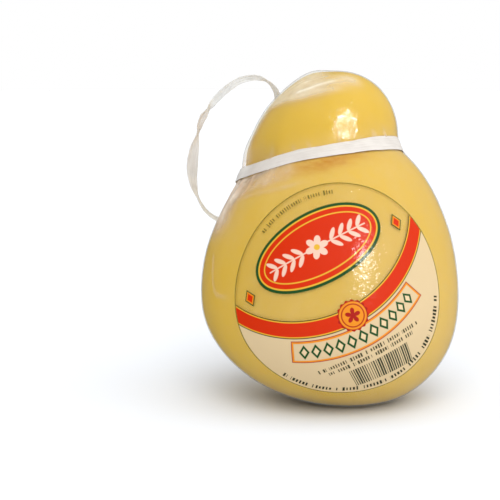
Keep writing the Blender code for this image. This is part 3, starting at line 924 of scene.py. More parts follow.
@dataclass(frozen=True)
class Studio:
    """The camera at the photograph's angle, a pale floor and soft light.

    The sky's levels are how bright it is on the whole, and how much brighter on one side.
    """

    target: Vector = field(default_factory=lambda: Vector((-37.3, -3.0, 58.0)) * MM)
    distance: float = 550 * MM
    elevation: float = math.radians(8)
    lens: float = 104.1
    sensor: float = 36.0
    picture: int = 500
    floor_reach: float = 4.0
    floor_colour: Colour = (0.67, 0.69, 0.72)
    key: Sun = Sun("key", around=40, above=54, energy=1.1, spread=85)
    floor_wash: Sun = Sun("floor wash", around=0, above=43, energy=1.3, spread=40)
    shines: tuple[Shine, ...] = (
        Shine("head core", Vector((-1.9, -8.1, 107.6)), 30, 41, 0.75, 9, 15 * MM),
        Shine("head halo", Vector((0.5, -9.0, 106.0)), 33, 41, 0.4, 12, 75 * MM),
        Shine("neck core", Vector((-2.8, -10.8, 101.4)), 34, 49, 0.65, 7, 15 * MM),
        Shine("belly core", Vector((0.2, -40.0, 62.4)), 27, 28.5, 0.26, 9, 11 * MM),
        Shine("belly halo", Vector((3.6, -40.0, 59.8)), 30, 27.5, 1.1, 13, 60 * MM),
    )
    sky_level: float = 0.74
    sky_right: float = 0.20
    sky_front: float = 0.22
    sky_top: float = 0.42
    mirrored_level: float = 0.3
    mirrored_right: float = 0.25

    @property
    def eye(self) -> Vector:
        """Where the camera stands."""
        back = Vector((0, -math.cos(self.elevation), math.sin(self.elevation)))
        return self.target + back * self.distance

    def sight(self, pixel_x: float, pixel_y: float) -> Vector:
        """The direction in which the camera sees a pixel of the photograph.

        Args:
            pixel_x, pixel_y: The pixel, counted from the picture's top left.

        Returns:
            A unit vector.
        """
        focal = self.lens / self.sensor * self.picture
        ahead = (self.target - self.eye).normalized()
        right = Vector((1, 0, 0))
        up = right.cross(ahead)
        half = self.picture / 2
        off = right * ((pixel_x - half) / focal) + up * ((half - pixel_y) / focal)
        return (ahead + off).normalized()

    def build(self) -> None:
        """Sets up the camera, floor, lights and sky."""
        self._set_camera()
        floor = self._set_floor()
        self._set_lights(floor)
        bpy.context.scene.view_settings.view_transform = "Standard"
        LOG.info("studio: camera at %s", tuple(round(x, 3) for x in self.eye))

    def _set_camera(self) -> None:
        """Adds the camera and looks through it."""
        Workbench.clear_selection()
        turn = (math.pi / 2 - self.elevation, 0, 0)
        bpy.ops.object.camera_add(location=self.eye, rotation=turn)
        camera = bpy.context.object
        camera.data.lens = self.lens
        camera.data.sensor_width = self.sensor
        camera.data.clip_start = 0.01
        bpy.context.scene.camera = camera

    def _set_floor(self) -> bpy.types.Object:
        """Adds the pale floor, whose far edge is out of sight."""
        Workbench.clear_selection()
        bpy.ops.mesh.primitive_circle_add(vertices=96, radius=self.floor_reach, fill_type="NGON")
        floor = Workbench.named("floor")
        nodes = Nodes.named("pale floor")
        finish = {"Base Color": self.floor_colour, "Roughness": 0.9, "Specular IOR Level": 0.0}
        floor.data.materials.append(nodes.finish(finish))
        floor.visible_glossy = False
        return floor

    def _set_lights(self, floor: bpy.types.Object) -> None:
        """Adds the wide key light, the floor's own light, the small lights that only shine, and the sky."""
        self._add_sun(self.key).visible_glossy = False
        wash = self._add_sun(self.floor_wash)
        wash.light_linking.receiver_collection = bpy.data.collections.new("lit by the wash")
        wash.light_linking.receiver_collection.objects.link(floor)
        for shine in self.shines:
            self._add_shine(shine)
        self._set_sky()

    def _set_sky(self) -> None:
        """Adds a sky that lights more from above, the front and the right, and looks plain white."""
        bpy.context.scene.world = bpy.data.worlds.new("white room")
        nodes = Nodes(bpy.context.scene.world)
        x, y, z = nodes.split(nodes.out(nodes.add("ShaderNodeTexCoord"), "Generated"))
        path = nodes.add("ShaderNodeLightPath")
        looked, mirrored = nodes.out(path, "Is Camera Ray"), nodes.out(path, "Is Glossy Ray")
        light = (x * self.sky_right - y * self.sky_front + z * self.sky_top + self.sky_level).most(0.0)
        shine = (x * self.mirrored_right + self.mirrored_level).most(0.0)
        light = light + mirrored * (shine - light)
        nodes.finish({"Color": (1.0, 1.0, 1.0), "Strength": light + looked * (1.0 - light)})

    def _add_sun(self, sun: Sun) -> bpy.types.Object:
        """Adds a sun."""
        light = self._add_light(sun.name, "SUN", sun.energy)
        light.data.angle = math.radians(sun.spread)
        light.rotation_euler = self._towards(sun.around, sun.above).to_track_quat("Z", "Y").to_euler()
        return light

    def _add_shine(self, shine: Shine) -> None:
        """Adds a small light that lights one patch of the film's gloss, and nothing else."""
        away = self._towards(shine.around, shine.above)
        light = self._add_light(shine.name, "SPOT", shine.energy)
        light.data.shadow_soft_size = shine.radius
        light.data.spot_size = math.radians(shine.cone)
        light.data.spot_blend = shine.blend
        light.location = shine.target * MM + away * shine.distance
        light.rotation_euler = away.to_track_quat("Z", "Y").to_euler()
        light.visible_diffuse = False

    @staticmethod
    def _towards(around: float, above: float) -> Vector:
        """The direction that is so many degrees right of the front, and above the floor."""
        turn, rise = math.radians(around), math.radians(above)
        level = math.cos(rise)
        return Vector((math.sin(turn) * level, -math.cos(turn) * level, math.sin(rise)))

    @staticmethod
    def _add_light(name: str, kind: str, energy: float) -> bpy.types.Object:
        """Adds a light."""
        data = bpy.data.lights.new(name, kind)
        data.energy = energy
        light = bpy.data.objects.new(name, data)
        bpy.context.scene.collection.objects.link(light)
        return light


# ---- what the frame says ------------------------------------------------------------------
class Solids:
    """The frame's pear, as a tree that rays are cast on."""

    RAYS = 24  # round a slice
    ROUNDS = 3  # in which a slice's middle is found

    def __init__(self) -> None:
        """Reads the pear's skin."""
        self.skin = Workbench.tree_of(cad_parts["bagged_cheese"])

    def slice_middle(self, height: float) -> Vector:
        """The middle of the pear's slice at a height."""
        inside = Vector((0, 0, height))
        for _ in range(self.ROUNDS):
            rim = []
            for i in range(self.RAYS):
                angle = 2 * math.pi * i / self.RAYS
                place, _, _, _ = self.skin.ray_cast(inside, Vector((math.cos(angle), math.sin(angle), 0)))
                rim.append(place)
            inside = sum(rim, Vector()) / len(rim)
        return inside


@dataclass
class BandPlane:
    """The slanted plane of the tape round the neck."""

    middle: Vector
    right: Vector
    back: Vector
    up: Vector

    @classmethod
    def from_frame(cls) -> "BandPlane":
        """Fits the plane to the frame's neck band."""
        places = Workbench.places(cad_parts["neck_band"])
        middle = (places.min(0) + places.max(0)) / 2
        _, _, ways = np.linalg.svd(places - middle, full_matrices=False)
        up = Vector(ways[2])
        up = up if up.z > 0 else -up
        right = (Vector((1, 0, 0)) - up * up.x).normalized()
        over = (places - middle) @ np.array(up)
        centred = Vector(middle) + up * float(over.min() + over.max()) / 2
        return cls(centred, right, up.cross(right), up)

    def ray(self, angle: float) -> Vector:
        """The direction at an angle from the right, anticlockwise from above."""
        return self.right * math.cos(angle) + self.back * math.sin(angle)

    def angle_of(self, place: Vector) -> float:
        """A place's angle round the band."""
        off = place - self.middle
        return math.atan2(off.dot(self.back), off.dot(self.right))

    def around(self, places: np.ndarray) -> tuple[np.ndarray, np.ndarray, np.ndarray]:
        """Cylinder coordinates of many places.

        Args:
            places: One row each.

        Returns:
            The angle, the distance from the axis and the height over the plane of each.
        """
        off = places - np.array(self.middle)
        x, y, z = off @ np.array(self.right), off @ np.array(self.back), off @ np.array(self.up)
        return np.arctan2(y, x), np.hypot(x, y), z


# ---- the cheese and its bag ---------------------------------------------------------------
@dataclass
class Fold:
    """A raised line in the film, along places on it, whose haze may reach further above it.

    Attributes:
        places: Where it goes.
        height, width: How high it stands and how wide it is.
        haze: How milky it is, from 0 to 1.
        rise: How many times further the haze reaches above it than below.
        fades: The shares of its length over which it starts and ends.
        haze_spread: How many times wider than the fold its haze is.
    """

    places: list[Vector]
    height: float
    width: float
    haze: float
    rise: float = 1.0
    fades: Pair = (0.12, 0.35)
    haze_spread: float = 1.6

    def lift(self, points: np.ndarray) -> tuple[np.ndarray, np.ndarray]:
        """How the fold raises and clouds the film.

        Args:
            points: The film's points, one row each.

        Returns:
            The lift along the normal, and the haze, of each point.
        """
        nearest = np.full(len(points), np.inf)
        along, level = np.zeros(len(points)), np.zeros(len(points))
        last = len(self.places) - 1
        for i, (a, b) in enumerate(zip(self.places, self.places[1:])):
            start, way = np.array(a), np.array(b - a)
            share = np.clip((points - start) @ way / (way @ way), 0, 1)
            foot = start + share[:, None] * way
            distance = np.linalg.norm(points - foot, axis=1)
            closer = distance < nearest
            level[closer] = foot[closer, 2]
            nearest[closer] = distance[closer]
            along[closer] = (i + share[closer]) / last
        starting, ending = self.fades
        fade = smooth(along / starting) * smooth((1 - along) / ending)
        crest = bell(nearest, self.width) * fade
        cloud = self.width * self.haze_spread * np.where(points[:, 2] > level, self.rise, 1.0)
        return crest * self.height, bell(nearest, cloud) * fade * self.haze


@dataclass(frozen=True)
class Crease:
    """A fold as the photograph shows it: its pixels, its height and width in millimetres, its haze."""

    name: str
    pixels: tuple[Pair, ...]
    height: float
    width: float
    haze: float
    rise: float = 1.0

    def fold(self, places: list[Vector]) -> Fold:
        """The same fold along places on the film."""
        return Fold(smooth_route(places, 4), self.height * MM, self.width * MM, self.haze, self.rise)


CREASES = (
    Crease("left valley", ((259, 170), (254, 181), (249, 190), (243, 197), (238, 203)), -0.4, 0.6, 0.0),
    Crease(
        "left wing's ridge",
        ((246, 176), (240, 186), (233, 198), (227, 207), (220, 221), (212, 240)),
        0.5, 2.4, 0.55,
    ),
    Crease(
        "left wing's haze",
        ((242, 178), (236, 187), (229, 200), (222, 214), (216, 227), (209, 246)),
        0.0, 5.6, 1.0,
    ),
    Crease("left inner ridge", ((256, 172), (250, 184), (245, 192), (238, 200), (230, 211)), 0.35, 1.0, 0.35),
    Crease("shoulder line", ((240, 199), (252, 195), (268, 191), (289, 186), (312, 178)), 0.14, 0.7, 0.22),
    Crease("long crease under the tape", ((272, 166), (267, 179), (261, 190), (252, 201)), 0.22, 1.1, 0.1),
    Crease("short crease under the tape", ((290, 160), (287, 173), (280, 186)), 0.16, 1.2, 0.08),
    Crease(
        "crown's haze",
        ((262, 118), (270, 108), (280, 101), (298, 96), (320, 90), (340, 86.5), (362, 84), (384, 84)),
        0.0, 1.7, 0.46, 11.0,
    ),
    # The three streaks below are painted highlights: low folds made milky white along the lines where the
    # film shines.
    Crease("crown's low streak", ((292, 95), (308, 89), (322, 84), (334, 81), (350, 78)), 0.2, 0.9, 0.8),
    Crease("crown's left streak", ((282, 95), (291, 88), (301, 82), (312, 77)), 0.15, 0.6, 0.6),
    Crease("crown's high streak", ((296, 86), (310, 81), (324, 77), (338, 75)), 0.12, 0.5, 0.6),
    Crease("crown's rim", ((284, 95), (292, 87), (301, 80), (311, 74), (322, 71), (334, 71)), 0.0, 2.8, 0.45),
    Crease("crown's right end", ((316, 83), (334, 80.5), (350, 79.5), (366, 82)), 0.0, 3.0, 0.42),
    Crease(
        "head's left side",
        ((278, 98), (263, 116), (253, 134), (247, 148), (244, 160), (243, 172)),
        0.0, 2.4, 0.5,
    ),
    Crease("tent over the neck", ((247, 149), (245, 158), (243, 167), (241, 178)), 0.0, 3.2, 0.5),
    Crease(
        "belly's left side",
        ((214, 250), (213, 265), (213, 280), (216, 294), (224, 297), (234, 297)),
        0.16, 0.5, 0.28,
    ),
)


@dataclass(frozen=True)
class Seam:
    """The bag's sealed edge, low across the back: an arc seen from the belly's middle, in degrees."""

    middle: float = 50 * MM
    down: float = 47.0
    span: Pair = (5.0, 172.0)
    steps: int = 12
    sway: float = 4.0
    height: float = 0.7 * MM
    width: float = 0.9 * MM
    haze_width: float = 2.6 * MM
    haze: float = 0.3
    gather_start: float = 10.0
    gather_step: float = 3.0
    gather_height: float = 0.4 * MM
    gather_width: float = 1.6 * MM
    gather_haze: float = 0.8

    def folds(self, skin: BVHTree) -> list[Fold]:
        """The sealed edge with its haze, and the cloudy gather at its end."""
        start, end = self.span
        edge = []
        for i in range(self.steps + 1):
            around = start + (end - start) * i / self.steps
            edge.append(self._place(skin, around, self.down + self.sway * math.sin(math.radians(around * 2))))
        gather = []
        for i in range(4):
            spread = i * self.gather_step
            gather.append(self._place(skin, start + self.gather_start - spread, self.down - spread))
        return [
            Fold(edge, self.height, self.width, 1.0),
            Fold(edge, 0.0, self.haze_width, self.haze),
            Fold(gather, self.gather_height, self.gather_width, self.gather_haze),
        ]

    def _place(self, skin: BVHTree, around: float, down: float) -> Vector:
        """Where the film is, so many degrees round from the right and down from level."""
        turn, dip = math.radians(around), math.radians(down)
        way = Vector((math.cos(turn) * math.cos(dip), math.sin(turn) * math.cos(dip), -math.sin(dip)))
        return skin.ray_cast(Vector((0.0, 0.0, self.middle)), way)[0]


@dataclass(frozen=True)
class Gathers:
    """The small wrinkles that the tape gathers in the film on both sides of itself.

    Attributes:
        below, above: How many there are on each side.
        length, width, height: The least and the most that each is, in millimetres.
        drift: How far each may slant, in radians for each metre.
        start: How far from the tape's middle they start.
        rise: Over what length each rises, and how much of it the tape hides.
        haze: How milky the highest is.
        reach: How far from the tape's plane they are looked for.
        seed: What fixes their chance places.
    """

    below: int = 34
    above: int = 24
    length: Pair = (3.0, 9.0)
    width: Pair = (0.5, 1.0)
    height: Pair = (0.10, 0.26)
    drift: float = 9.0
    start: float = 1.44 * MM
    rise: Pair = (1.0 * MM, 0.4)
    haze: float = 0.35
    reach: float = 30 * MM
    seed: int = 11

    def lift(self, angle: np.ndarray, radius: np.ndarray, over: np.ndarray) -> tuple[np.ndarray, np.ndarray]:
        """How the gathers raise and cloud the film.

        Args:
            angle, radius, over: Each point's place in the band's cylinder coordinates.

        Returns:
            The lift and the haze of each point.
        """
        draw = random.Random(self.seed)
        lift, haze = np.zeros_like(angle), np.zeros_like(angle)
        rise, hidden = self.rise
        highest = self.height[1] * MM
        for side, count in ((-1, self.below), (1, self.above)):
            run = side * over - self.start
            for _ in range(count):
                start = draw.uniform(0, 2 * math.pi)
                length = draw.uniform(*self.length) * MM
                width = draw.uniform(*self.width) * MM
                height = draw.uniform(*self.height) * MM
                drift = draw.uniform(-self.drift, self.drift)
                off = np.angle(np.exp(1j * (angle - start - drift * run))) * radius
                crest = bell(off, width) * smooth(1 - run / length) * smooth(run / rise + hidden)
                lift += crest * height
                haze += crest * height / highest * self.haze
        near = np.abs(over) < self.reach
        return lift * near, haze * near


@dataclass(frozen=True)
class Haze:
    """Where the film is milky apart from its folds, each with its share, and where it takes a blush.

    Attributes:
        front, front_fade: How far back the drawn folds are milky, and over what length they clear.
        loose, loose_fade, loose_share: How far the film stands off the curd where it clouds.
        left: The angle, clockwise from the right, at which the left shoulder's haze starts, and
            over how much it grows.
        left_end: The same of its end.
        shoulder: How far under the tape it grows, how far down it ends, and over what length.
        shoulder_share, collar_share, right_share, all_share: How milky each place is.
        collar: Over what lengths the haze over the tape grows and dies away.
        right: How far to the right the film clouds.
        blush, blush_loss, blush_fade: The blush below the tape, how much less it is above, and over what.
    """

    front: float = 26 * MM
    front_fade: float = 12 * MM
    loose: float = 0.7 * MM
    loose_fade: float = 1.6 * MM
    loose_share: float = 0.07
    left: Pair = (math.radians(103), 0.4)
    left_end: Pair = (math.radians(215), 0.5)
    shoulder: tuple[float, float, float] = (1.5 * MM, 10 * MM, 5 * MM)
    shoulder_share: float = 0.45
    collar: Pair = (1.0 * MM, 5 * MM)
    collar_share: float = 0.06
    right: float = 20 * MM
    right_sheen_share: float = 0.03
    all_share: float = 0.04
    blush: float = 1.2
    blush_loss: float = 1.1
    blush_fade: float = 22 * MM

    def in_front(self, places: np.ndarray) -> np.ndarray:
        """1 in front and 0 behind, for each place."""
        return smooth((self.front - places[:, 1]) / self.front_fade)

    def over_all(
        self, rightwards: np.ndarray, angle: np.ndarray, over: np.ndarray, away: np.ndarray
    ) -> np.ndarray:
        """The haze apart from the folds.

        Args:
            rightwards: How far right each of the film's points is.
            angle, over: Its angle and height in the band's cylinder coordinates.
            away: How far it is from the curd.

        Returns:
            The haze of each point.
        """
        leftwards = np.mod(-angle, 2 * math.pi)
        (start, growth), (end, decline) = self.left, self.left_end
        left_front = smooth((leftwards - start) / growth) * smooth((end - leftwards) / decline)
        under, depth, ending = self.shoulder
        shoulder = smooth(-over / under) * smooth((depth + over) / ending)
        growth, decline = self.collar
        collar = smooth(over / growth) * np.exp(-np.maximum(over, 0) / decline)
        standing = smooth((away - self.loose) / self.loose_fade)
        haze = shoulder * left_front * self.shoulder_share + collar * self.collar_share
        # The haze that grows towards the right is a painted sheen on that side.
        haze = haze + standing * self.loose_share + smooth(rightwards / self.right) * self.right_sheen_share
        return haze + self.all_share

    def blushes(self, over: np.ndarray) -> np.ndarray:
        """How far the haze takes the warm tone, at heights over the tape."""
        return self.blush - self.blush_loss * smooth(over / self.blush_fade)


@dataclass(frozen=True)
class Pleat:
    """The loose pleat of the film: a tent over the neck's left, and a low peak on the crown."""

    angle: float = math.radians(181)
    half_width: float = 21 * MM
    end: float = 6 * MM
    tent_reach: float = 2.7 * MM
    tent_height: float = 90 * MM
    spread: float = 10 * MM
    crown_reach: float = 1.0 * MM
    peak_reach: float = 1.4 * MM
    peak_out: float = 5.5 * MM
    peak_spread: float = 7 * MM

    def stand_off(self, place: Vector, height: float) -> float:
        """How far the film stands off the curd.

        Args:
            place: The point from the pear's heart, with z along the pear's axis.
            height: The point's height over the floor.

        Returns:
            The distance.
        """
        out = place.x * math.cos(self.angle) + place.y * math.sin(self.angle)
        off = place.y * math.cos(self.angle) - place.x * math.sin(self.angle)
        crest = smooth(1 - abs(off) / self.half_width) * smooth(0.5 + 0.5 * out / self.end)
        over = height - self.tent_height
        peak = self.peak_reach * bell(out - self.peak_out, self.peak_spread)
        crown = (self.crown_reach + peak) * smooth(over / self.spread)
        return float(max(self.tent_reach * bell(over, self.spread), crown) * crest)


@dataclass
class Pear:
    """The cheese and the shrink film on it, both cast from one ball onto the frame's solid."""

    solids: Solids
    band: BandPlane
    studio: Studio
    segments: int = 88
    rings: int = 60
    heart_height: float = 76 * MM
    cone: float = math.radians(2.8)
    pleat: Pleat = Pleat()
    seam: Seam = Seam()
    gathers: Gathers = Gathers()
    haze: Haze = Haze()
    film_gap: float = 0.35 * MM
    film_over: float = 0.02 * MM
    steepest: float = 0.45
    cone_rings: tuple[tuple[float, int], ...] = ((0.0, 1), (0.5, 6), (1.0, 8))
    sag: float = 0.35 * MM
    sag_size: float = 24 * MM
    sag_start: float = 6 * MM
    # Where the lower left flank takes a painted shade: how far left it starts and over what, how high it ends
    # and over what, and its share.
    shaded_flank_out: Pair = (34 * MM, 14 * MM)
    shaded_flank_top: Pair = (70 * MM, 16 * MM)
    flank_shade_share: float = 0.7
    head_fade: float = 10 * MM
    # Where the painted shade just below the tape lies: how far down and how high, and at what angle and how
    # wide.
    under_tape_shade_down: Pair = (4 * MM, 3.6 * MM)
    under_tape_shade_turn: Pair = (math.radians(88), 0.45)

    def build(self) -> tuple[bpy.types.Object, bpy.types.Object]:
        """Builds both skins and dresses them.

        Returns:
            The cheese and the film.
        """
        film_reach, curd_reach = self._reaches()
        cheese = self._cast("cheese", curd_reach)
        film = self._cast("shrink_film", film_reach)
        self._sag(cheese)
        self._sag(film)
        self._wrinkle(film, Workbench.tree_of(cheese))
        self._shade_head(cheese)
        for piece, finish in ((cheese, CheeseFinish()), (film, FilmFinish())):
            Workbench.shade_smooth(piece)
            piece.data.materials.append(finish.material())
            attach(piece, "root")
        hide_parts("bagged_cheese")
        film.visible_shadow = False
        LOG.info("cheese and film: %d points each", len(film.data.vertices))
        return cheese, film

    @property
    def heart(self) -> Vector:
        """The point in the neck that sees all of the skin."""
        return self.solids.slice_middle(self.heart_height)

    def _ball(self, name: str) -> bpy.types.Object:
        """A unit ball whose poles point at the crown and the middle of the foot."""
        Workbench.clear_selection()
        bpy.ops.mesh.primitive_uv_sphere_add(segments=self.segments, ring_count=self.rings, radius=1)
        return Workbench.named(name)

    def _lean(self) -> Matrix:
        """Turns the ball's axis from upright to the pear's own, with its front kept in front."""
        axis = self.heart.normalized()
        right = (Vector((1, 0, 0)) - axis * axis.x).normalized()
        return Matrix((right, axis.cross(right), axis)).transposed()

    def _reaches(self) -> tuple[np.ndarray, np.ndarray]:
        """How far the film and the curd are from the heart, for each ring and segment."""
        heart, lean = self.heart, self._lean()
        film = np.zeros((self.rings + 1, self.segments))
        curd = np.zeros_like(film)
        for ring in range(self.rings + 1):
            polar = math.pi * ring / self.rings
            for segment in range(self.segments):
                turn = 2 * math.pi * segment / self.segments
                way = (math.sin(polar) * math.cos(turn), math.sin(polar) * math.sin(turn), math.cos(polar))
                place, normal, _, reach = self.solids.skin.ray_cast(heart, lean @ Vector(way))
                sink = self.pleat.stand_off(Vector(way) * reach, place.z) + self.film_gap
                reach = self._mean_reach(heart, lean @ Vector(way))
                film[ring, segment] = reach
                curd[ring, segment] = reach - sink / max(self.steepest, normal.dot(lean @ Vector(way)))
        return film, curd

    def _mean_reach(self, heart: Vector, way: Vector) -> float:
        """How far the skin is from the heart, as the mean of a narrow cone of rays."""
        side = way.orthogonal().normalized()
        other = way.cross(side)
        total, count = 0.0, 0
        for share, rays in self.cone_rings:
            for i in range(rays):
                angle = 2 * math.pi * i / rays
                off = (side * math.cos(angle) + other * math.sin(angle)) * (share * self.cone)
                total += self.solids.skin.ray_cast(heart, (way + off).normalized())[3]
                count += 1
        return total / count

    def _cast(self, name: str, reaches: np.ndarray) -> bpy.types.Object:
        """Sends a ball's points out to their reaches, and rounds it."""
        ball = self._ball(name)
        lean = self._lean()
        for vertex in ball.data.vertices:
            x, y, z = vertex.co
            ring = round(math.acos(max(-1.0, min(1.0, z))) / math.pi * self.rings)
            segment = round(math.atan2(y, x) / (2 * math.pi) * self.segments) % self.segments
            reach = reaches[ring, segment]
            if ring in (0, self.rings):
                reach = reaches[ring].mean()
            vertex.co = self.heart + lean @ vertex.co * float(reach)
        ball.data.update()
        Workbench.modify(ball, "SMOOTH", factor=0.5, iterations=3)
        Workbench.subdivide(ball, 2)
        return ball

    def _sag(self, piece: bpy.types.Object) -> None:
        """Makes a skin as uneven as soft curd, alike on both."""
        places, normals = Workbench.places(piece), Workbench.normals(piece)
        swell = np.array([noise.noise(Vector(place) / self.sag_size) for place in places])
        off_floor = smooth(places[:, 2] / self.sag_start)
        Workbench.put(piece, places + normals * (swell * self.sag * off_floor)[:, None])

    def _drawn_folds(self, skin: BVHTree) -> list[Fold]:
        """The folds that the photograph shows, laid on the film where the camera sees them."""
        folds = []
        for crease in CREASES:
            sights = [self.studio.sight(*pixel) for pixel in crease.pixels]
            found = [skin.ray_cast(self.studio.eye, sight)[0] for sight in sights]
            places = [place for place in found if place is not None]
            folds.append(crease.fold(places))
            LOG.info("fold, %s: %d places", crease.name, len(places))
        return folds

    def _wrinkle(self, film: bpy.types.Object, cheese: BVHTree) -> None:
        """Raises the film's folds, and keeps how milky it is at each point."""
        places, normals = Workbench.places(film), Workbench.normals(film)
        angle, radius, over = self.band.around(places)
        lift, haze = self.gathers.lift(angle, radius, over)
        skin = Workbench.tree_of(film)
        everywhere, in_front = np.ones(len(places)), self.haze.in_front(places)
        for folds, clouds in ((self._drawn_folds(skin), in_front), (self.seam.folds(skin), everywhere)):
            for fold in folds:
                raised, clouded = fold.lift(places)
                lift = np.maximum(lift, raised)
                haze = np.maximum(haze, clouded * clouds)
        away = np.array([cheese.find_nearest(Vector(place))[3] for place in places])
        haze = haze + self.haze.over_all(places[:, 0], angle, over, away)
        Workbench.put(film, places + normals * (lift + self.film_over)[:, None])
        Workbench.paint(film, "haze", np.clip(haze, 0, 1))
        Workbench.paint(film, "blush", self.haze.blushes(over))

    def _shade_head(self, cheese: bpy.types.Object) -> None:
        """Keeps where the curd is deeper gold, and where the tape has browned it in front."""
        places = Workbench.places(cheese)
        angle, _, over = self.band.around(places)
        (out, growth), (top, fade) = self.shaded_flank_out, self.shaded_flank_top
        # Painted shade: the lower left flank is mixed towards the deep gold.
        flank_shade = smooth((-places[:, 0] - out) / growth) * smooth((top - places[:, 2]) / fade)
        head = smooth(over / self.head_fade)
        Workbench.paint(cheese, "head", np.clip(head + flank_shade * self.flank_shade_share, 0, 1))
        # Painted shade just below the tape in front, where the film hugs the curd.
        (down, high), (turn, wide) = self.under_tape_shade_down, self.under_tape_shade_turn
        Workbench.paint(cheese, "under_tape_shade", bell(over + down, high) * bell(angle + turn, wide))


# ---- the labels ---------------------------------------------------------------------------
@dataclass
class Labels:
    """The round label in front and the rectangular one behind, laid on the film."""

    film: bpy.types.Object
    solids: Solids
    belly_height: float = 39.8 * MM
    radius: float = 41.9 * MM
    turn: float = math.radians(1.2)
    pitch: float = math.radians(10.3)
    roll: float = math.radians(27)
    back_pitch: float = math.radians(-4)
    thickness: float = 0.12 * MM
    clearance: float = 0.06 * MM
    step: float = math.radians(2)
    disc_rings: int = 34
    disc_sides: int = 128
    plate_grid: tuple[int, int] = (56, 42)

    def build(self) -> list[bpy.types.Object]:
        """Builds and dresses both labels."""
        self.skin = Workbench.tree_of(self.film)
        self.middle = self.solids.slice_middle(self.belly_height)
        front = self._disc()
        level = math.cos(self.pitch)
        ahead = Vector((math.sin(self.turn) * level, -math.cos(self.turn) * level, math.sin(self.pitch)))
        self._lay(front, ahead, self.roll)
        back = self._plate()
        self._lay(back, Vector((0, math.cos(self.back_pitch), math.sin(self.back_pitch))), 0.0)
        for label, node, finish in ((front, "front_label", FrontPrint()), (back, "back_label", BackPrint())):
            Workbench.thicken(label, self.thickness, -1.0, rim_only=True)
            Workbench.shade_smooth(label, 40)
            label.data.materials.append(finish.material())
            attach(label, "root")
            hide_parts(node)
            LOG.info("%s: %d points", label.name, len(label.data.vertices))
        return [front, back]

    def _disc(self) -> bpy.types.Object:
        """A flat round sheet of rings, drawn about the origin, with its UV map."""
        Workbench.clear_selection()
        bpy.ops.mesh.primitive_circle_add(vertices=self.disc_sides, radius=self.radius, fill_type="NGON")
        disc = Workbench.named("front_label_print")
        stride = self.radius / (self.disc_rings + 0.5)
        with Workbench.editing(disc):
            bpy.ops.mesh.select_all(action="SELECT")
            for _ in range(self.disc_rings):
                bpy.ops.mesh.inset(thickness=stride / math.cos(math.pi / self.disc_sides))
            bpy.ops.mesh.poke()
        self._map_flat(disc, self.radius, self.radius)
        return disc

    def _plate(self) -> bpy.types.Object:
        """A flat rectangular sheet with round corners, drawn about the origin, with its UV map."""
        shape = BackPrint()
        Workbench.clear_selection()
        across, along = self.plate_grid
        bpy.ops.mesh.primitive_grid_add(x_subdivisions=across, y_subdivisions=along, size=1)
        plate = Workbench.named("back_label_print")
        for vertex in plate.data.vertices:
            x, y = vertex.co.x * shape.wide, vertex.co.y * shape.high
            spare = Vector((max(0.0, abs(x) - shape.wide / 2 + shape.corner), 0))
            spare.y = max(0.0, abs(y) - shape.high / 2 + shape.corner)
            if spare.length > 0:
                kept = spare.normalized() * max(spare)
                x = math.copysign(abs(x) - spare.x + kept.x, x)
                y = math.copysign(abs(y) - spare.y + kept.y, y)
            vertex.co = (x, y, 0)
        self._map_flat(plate, shape.wide / 2, shape.high / 2)
        return plate

    @staticmethod
    def _map_flat(sheet: bpy.types.Object, half_wide: float, half_high: float) -> None:
        """Gives a flat sheet a UV map that spans it from 0 to 1."""
        mesh = sheet.data
        layer = mesh.uv_layers.active or mesh.uv_layers.new(name="UVMap")
        for loop in mesh.loops:
            place = mesh.vertices[loop.vertex_index].co
            layer.uv[loop.index].vector = (0.5 + place.x / half_wide / 2, 0.5 + place.y / half_high / 2)

    def _lay(self, sheet: bpy.types.Object, ahead: Vector, roll: float) -> None:
        """Lays a flat sheet on the film round a direction from the belly's middle."""
        right = Vector((0, 0, 1)).cross(ahead).normalized()
        above = ahead.cross(right)
        across = right * math.cos(roll) + above * math.sin(roll)
        along = above * math.cos(roll) - right * math.sin(roll)
        for vertex in sheet.data.vertices:
            flat = across * vertex.co.x + along * vertex.co.y
            place, normal = self._walk(ahead, flat)
            vertex.co = place + normal * (self.clearance + self.thickness)
        sheet.data.update()

    def _walk(self, ahead: Vector, flat: Vector) -> tuple[Vector, Vector]:
        """Walks over the film from a label's middle, as far as the flat label reaches.

        Args:
            ahead: The direction of the label's middle.
            flat: The way to go and how far, square to it.

        Returns:
            The place on the film and the normal there.
        """
        way, left, turn = flat.normalized(), flat.length, 0.0
        here, normal, _, _ = self.skin.ray_cast(self.middle, ahead)
        while left > 0:
            turn += self.step
            direction = ahead * math.cos(turn) + way * math.sin(turn)
            there, normal, _, _ = self.skin.ray_cast(self.middle, direction)
            stride = (there - here).length
            if stride >= left:
                return here.lerp(there, left / stride), normal
            left -= stride
            here = there
        return here, normal


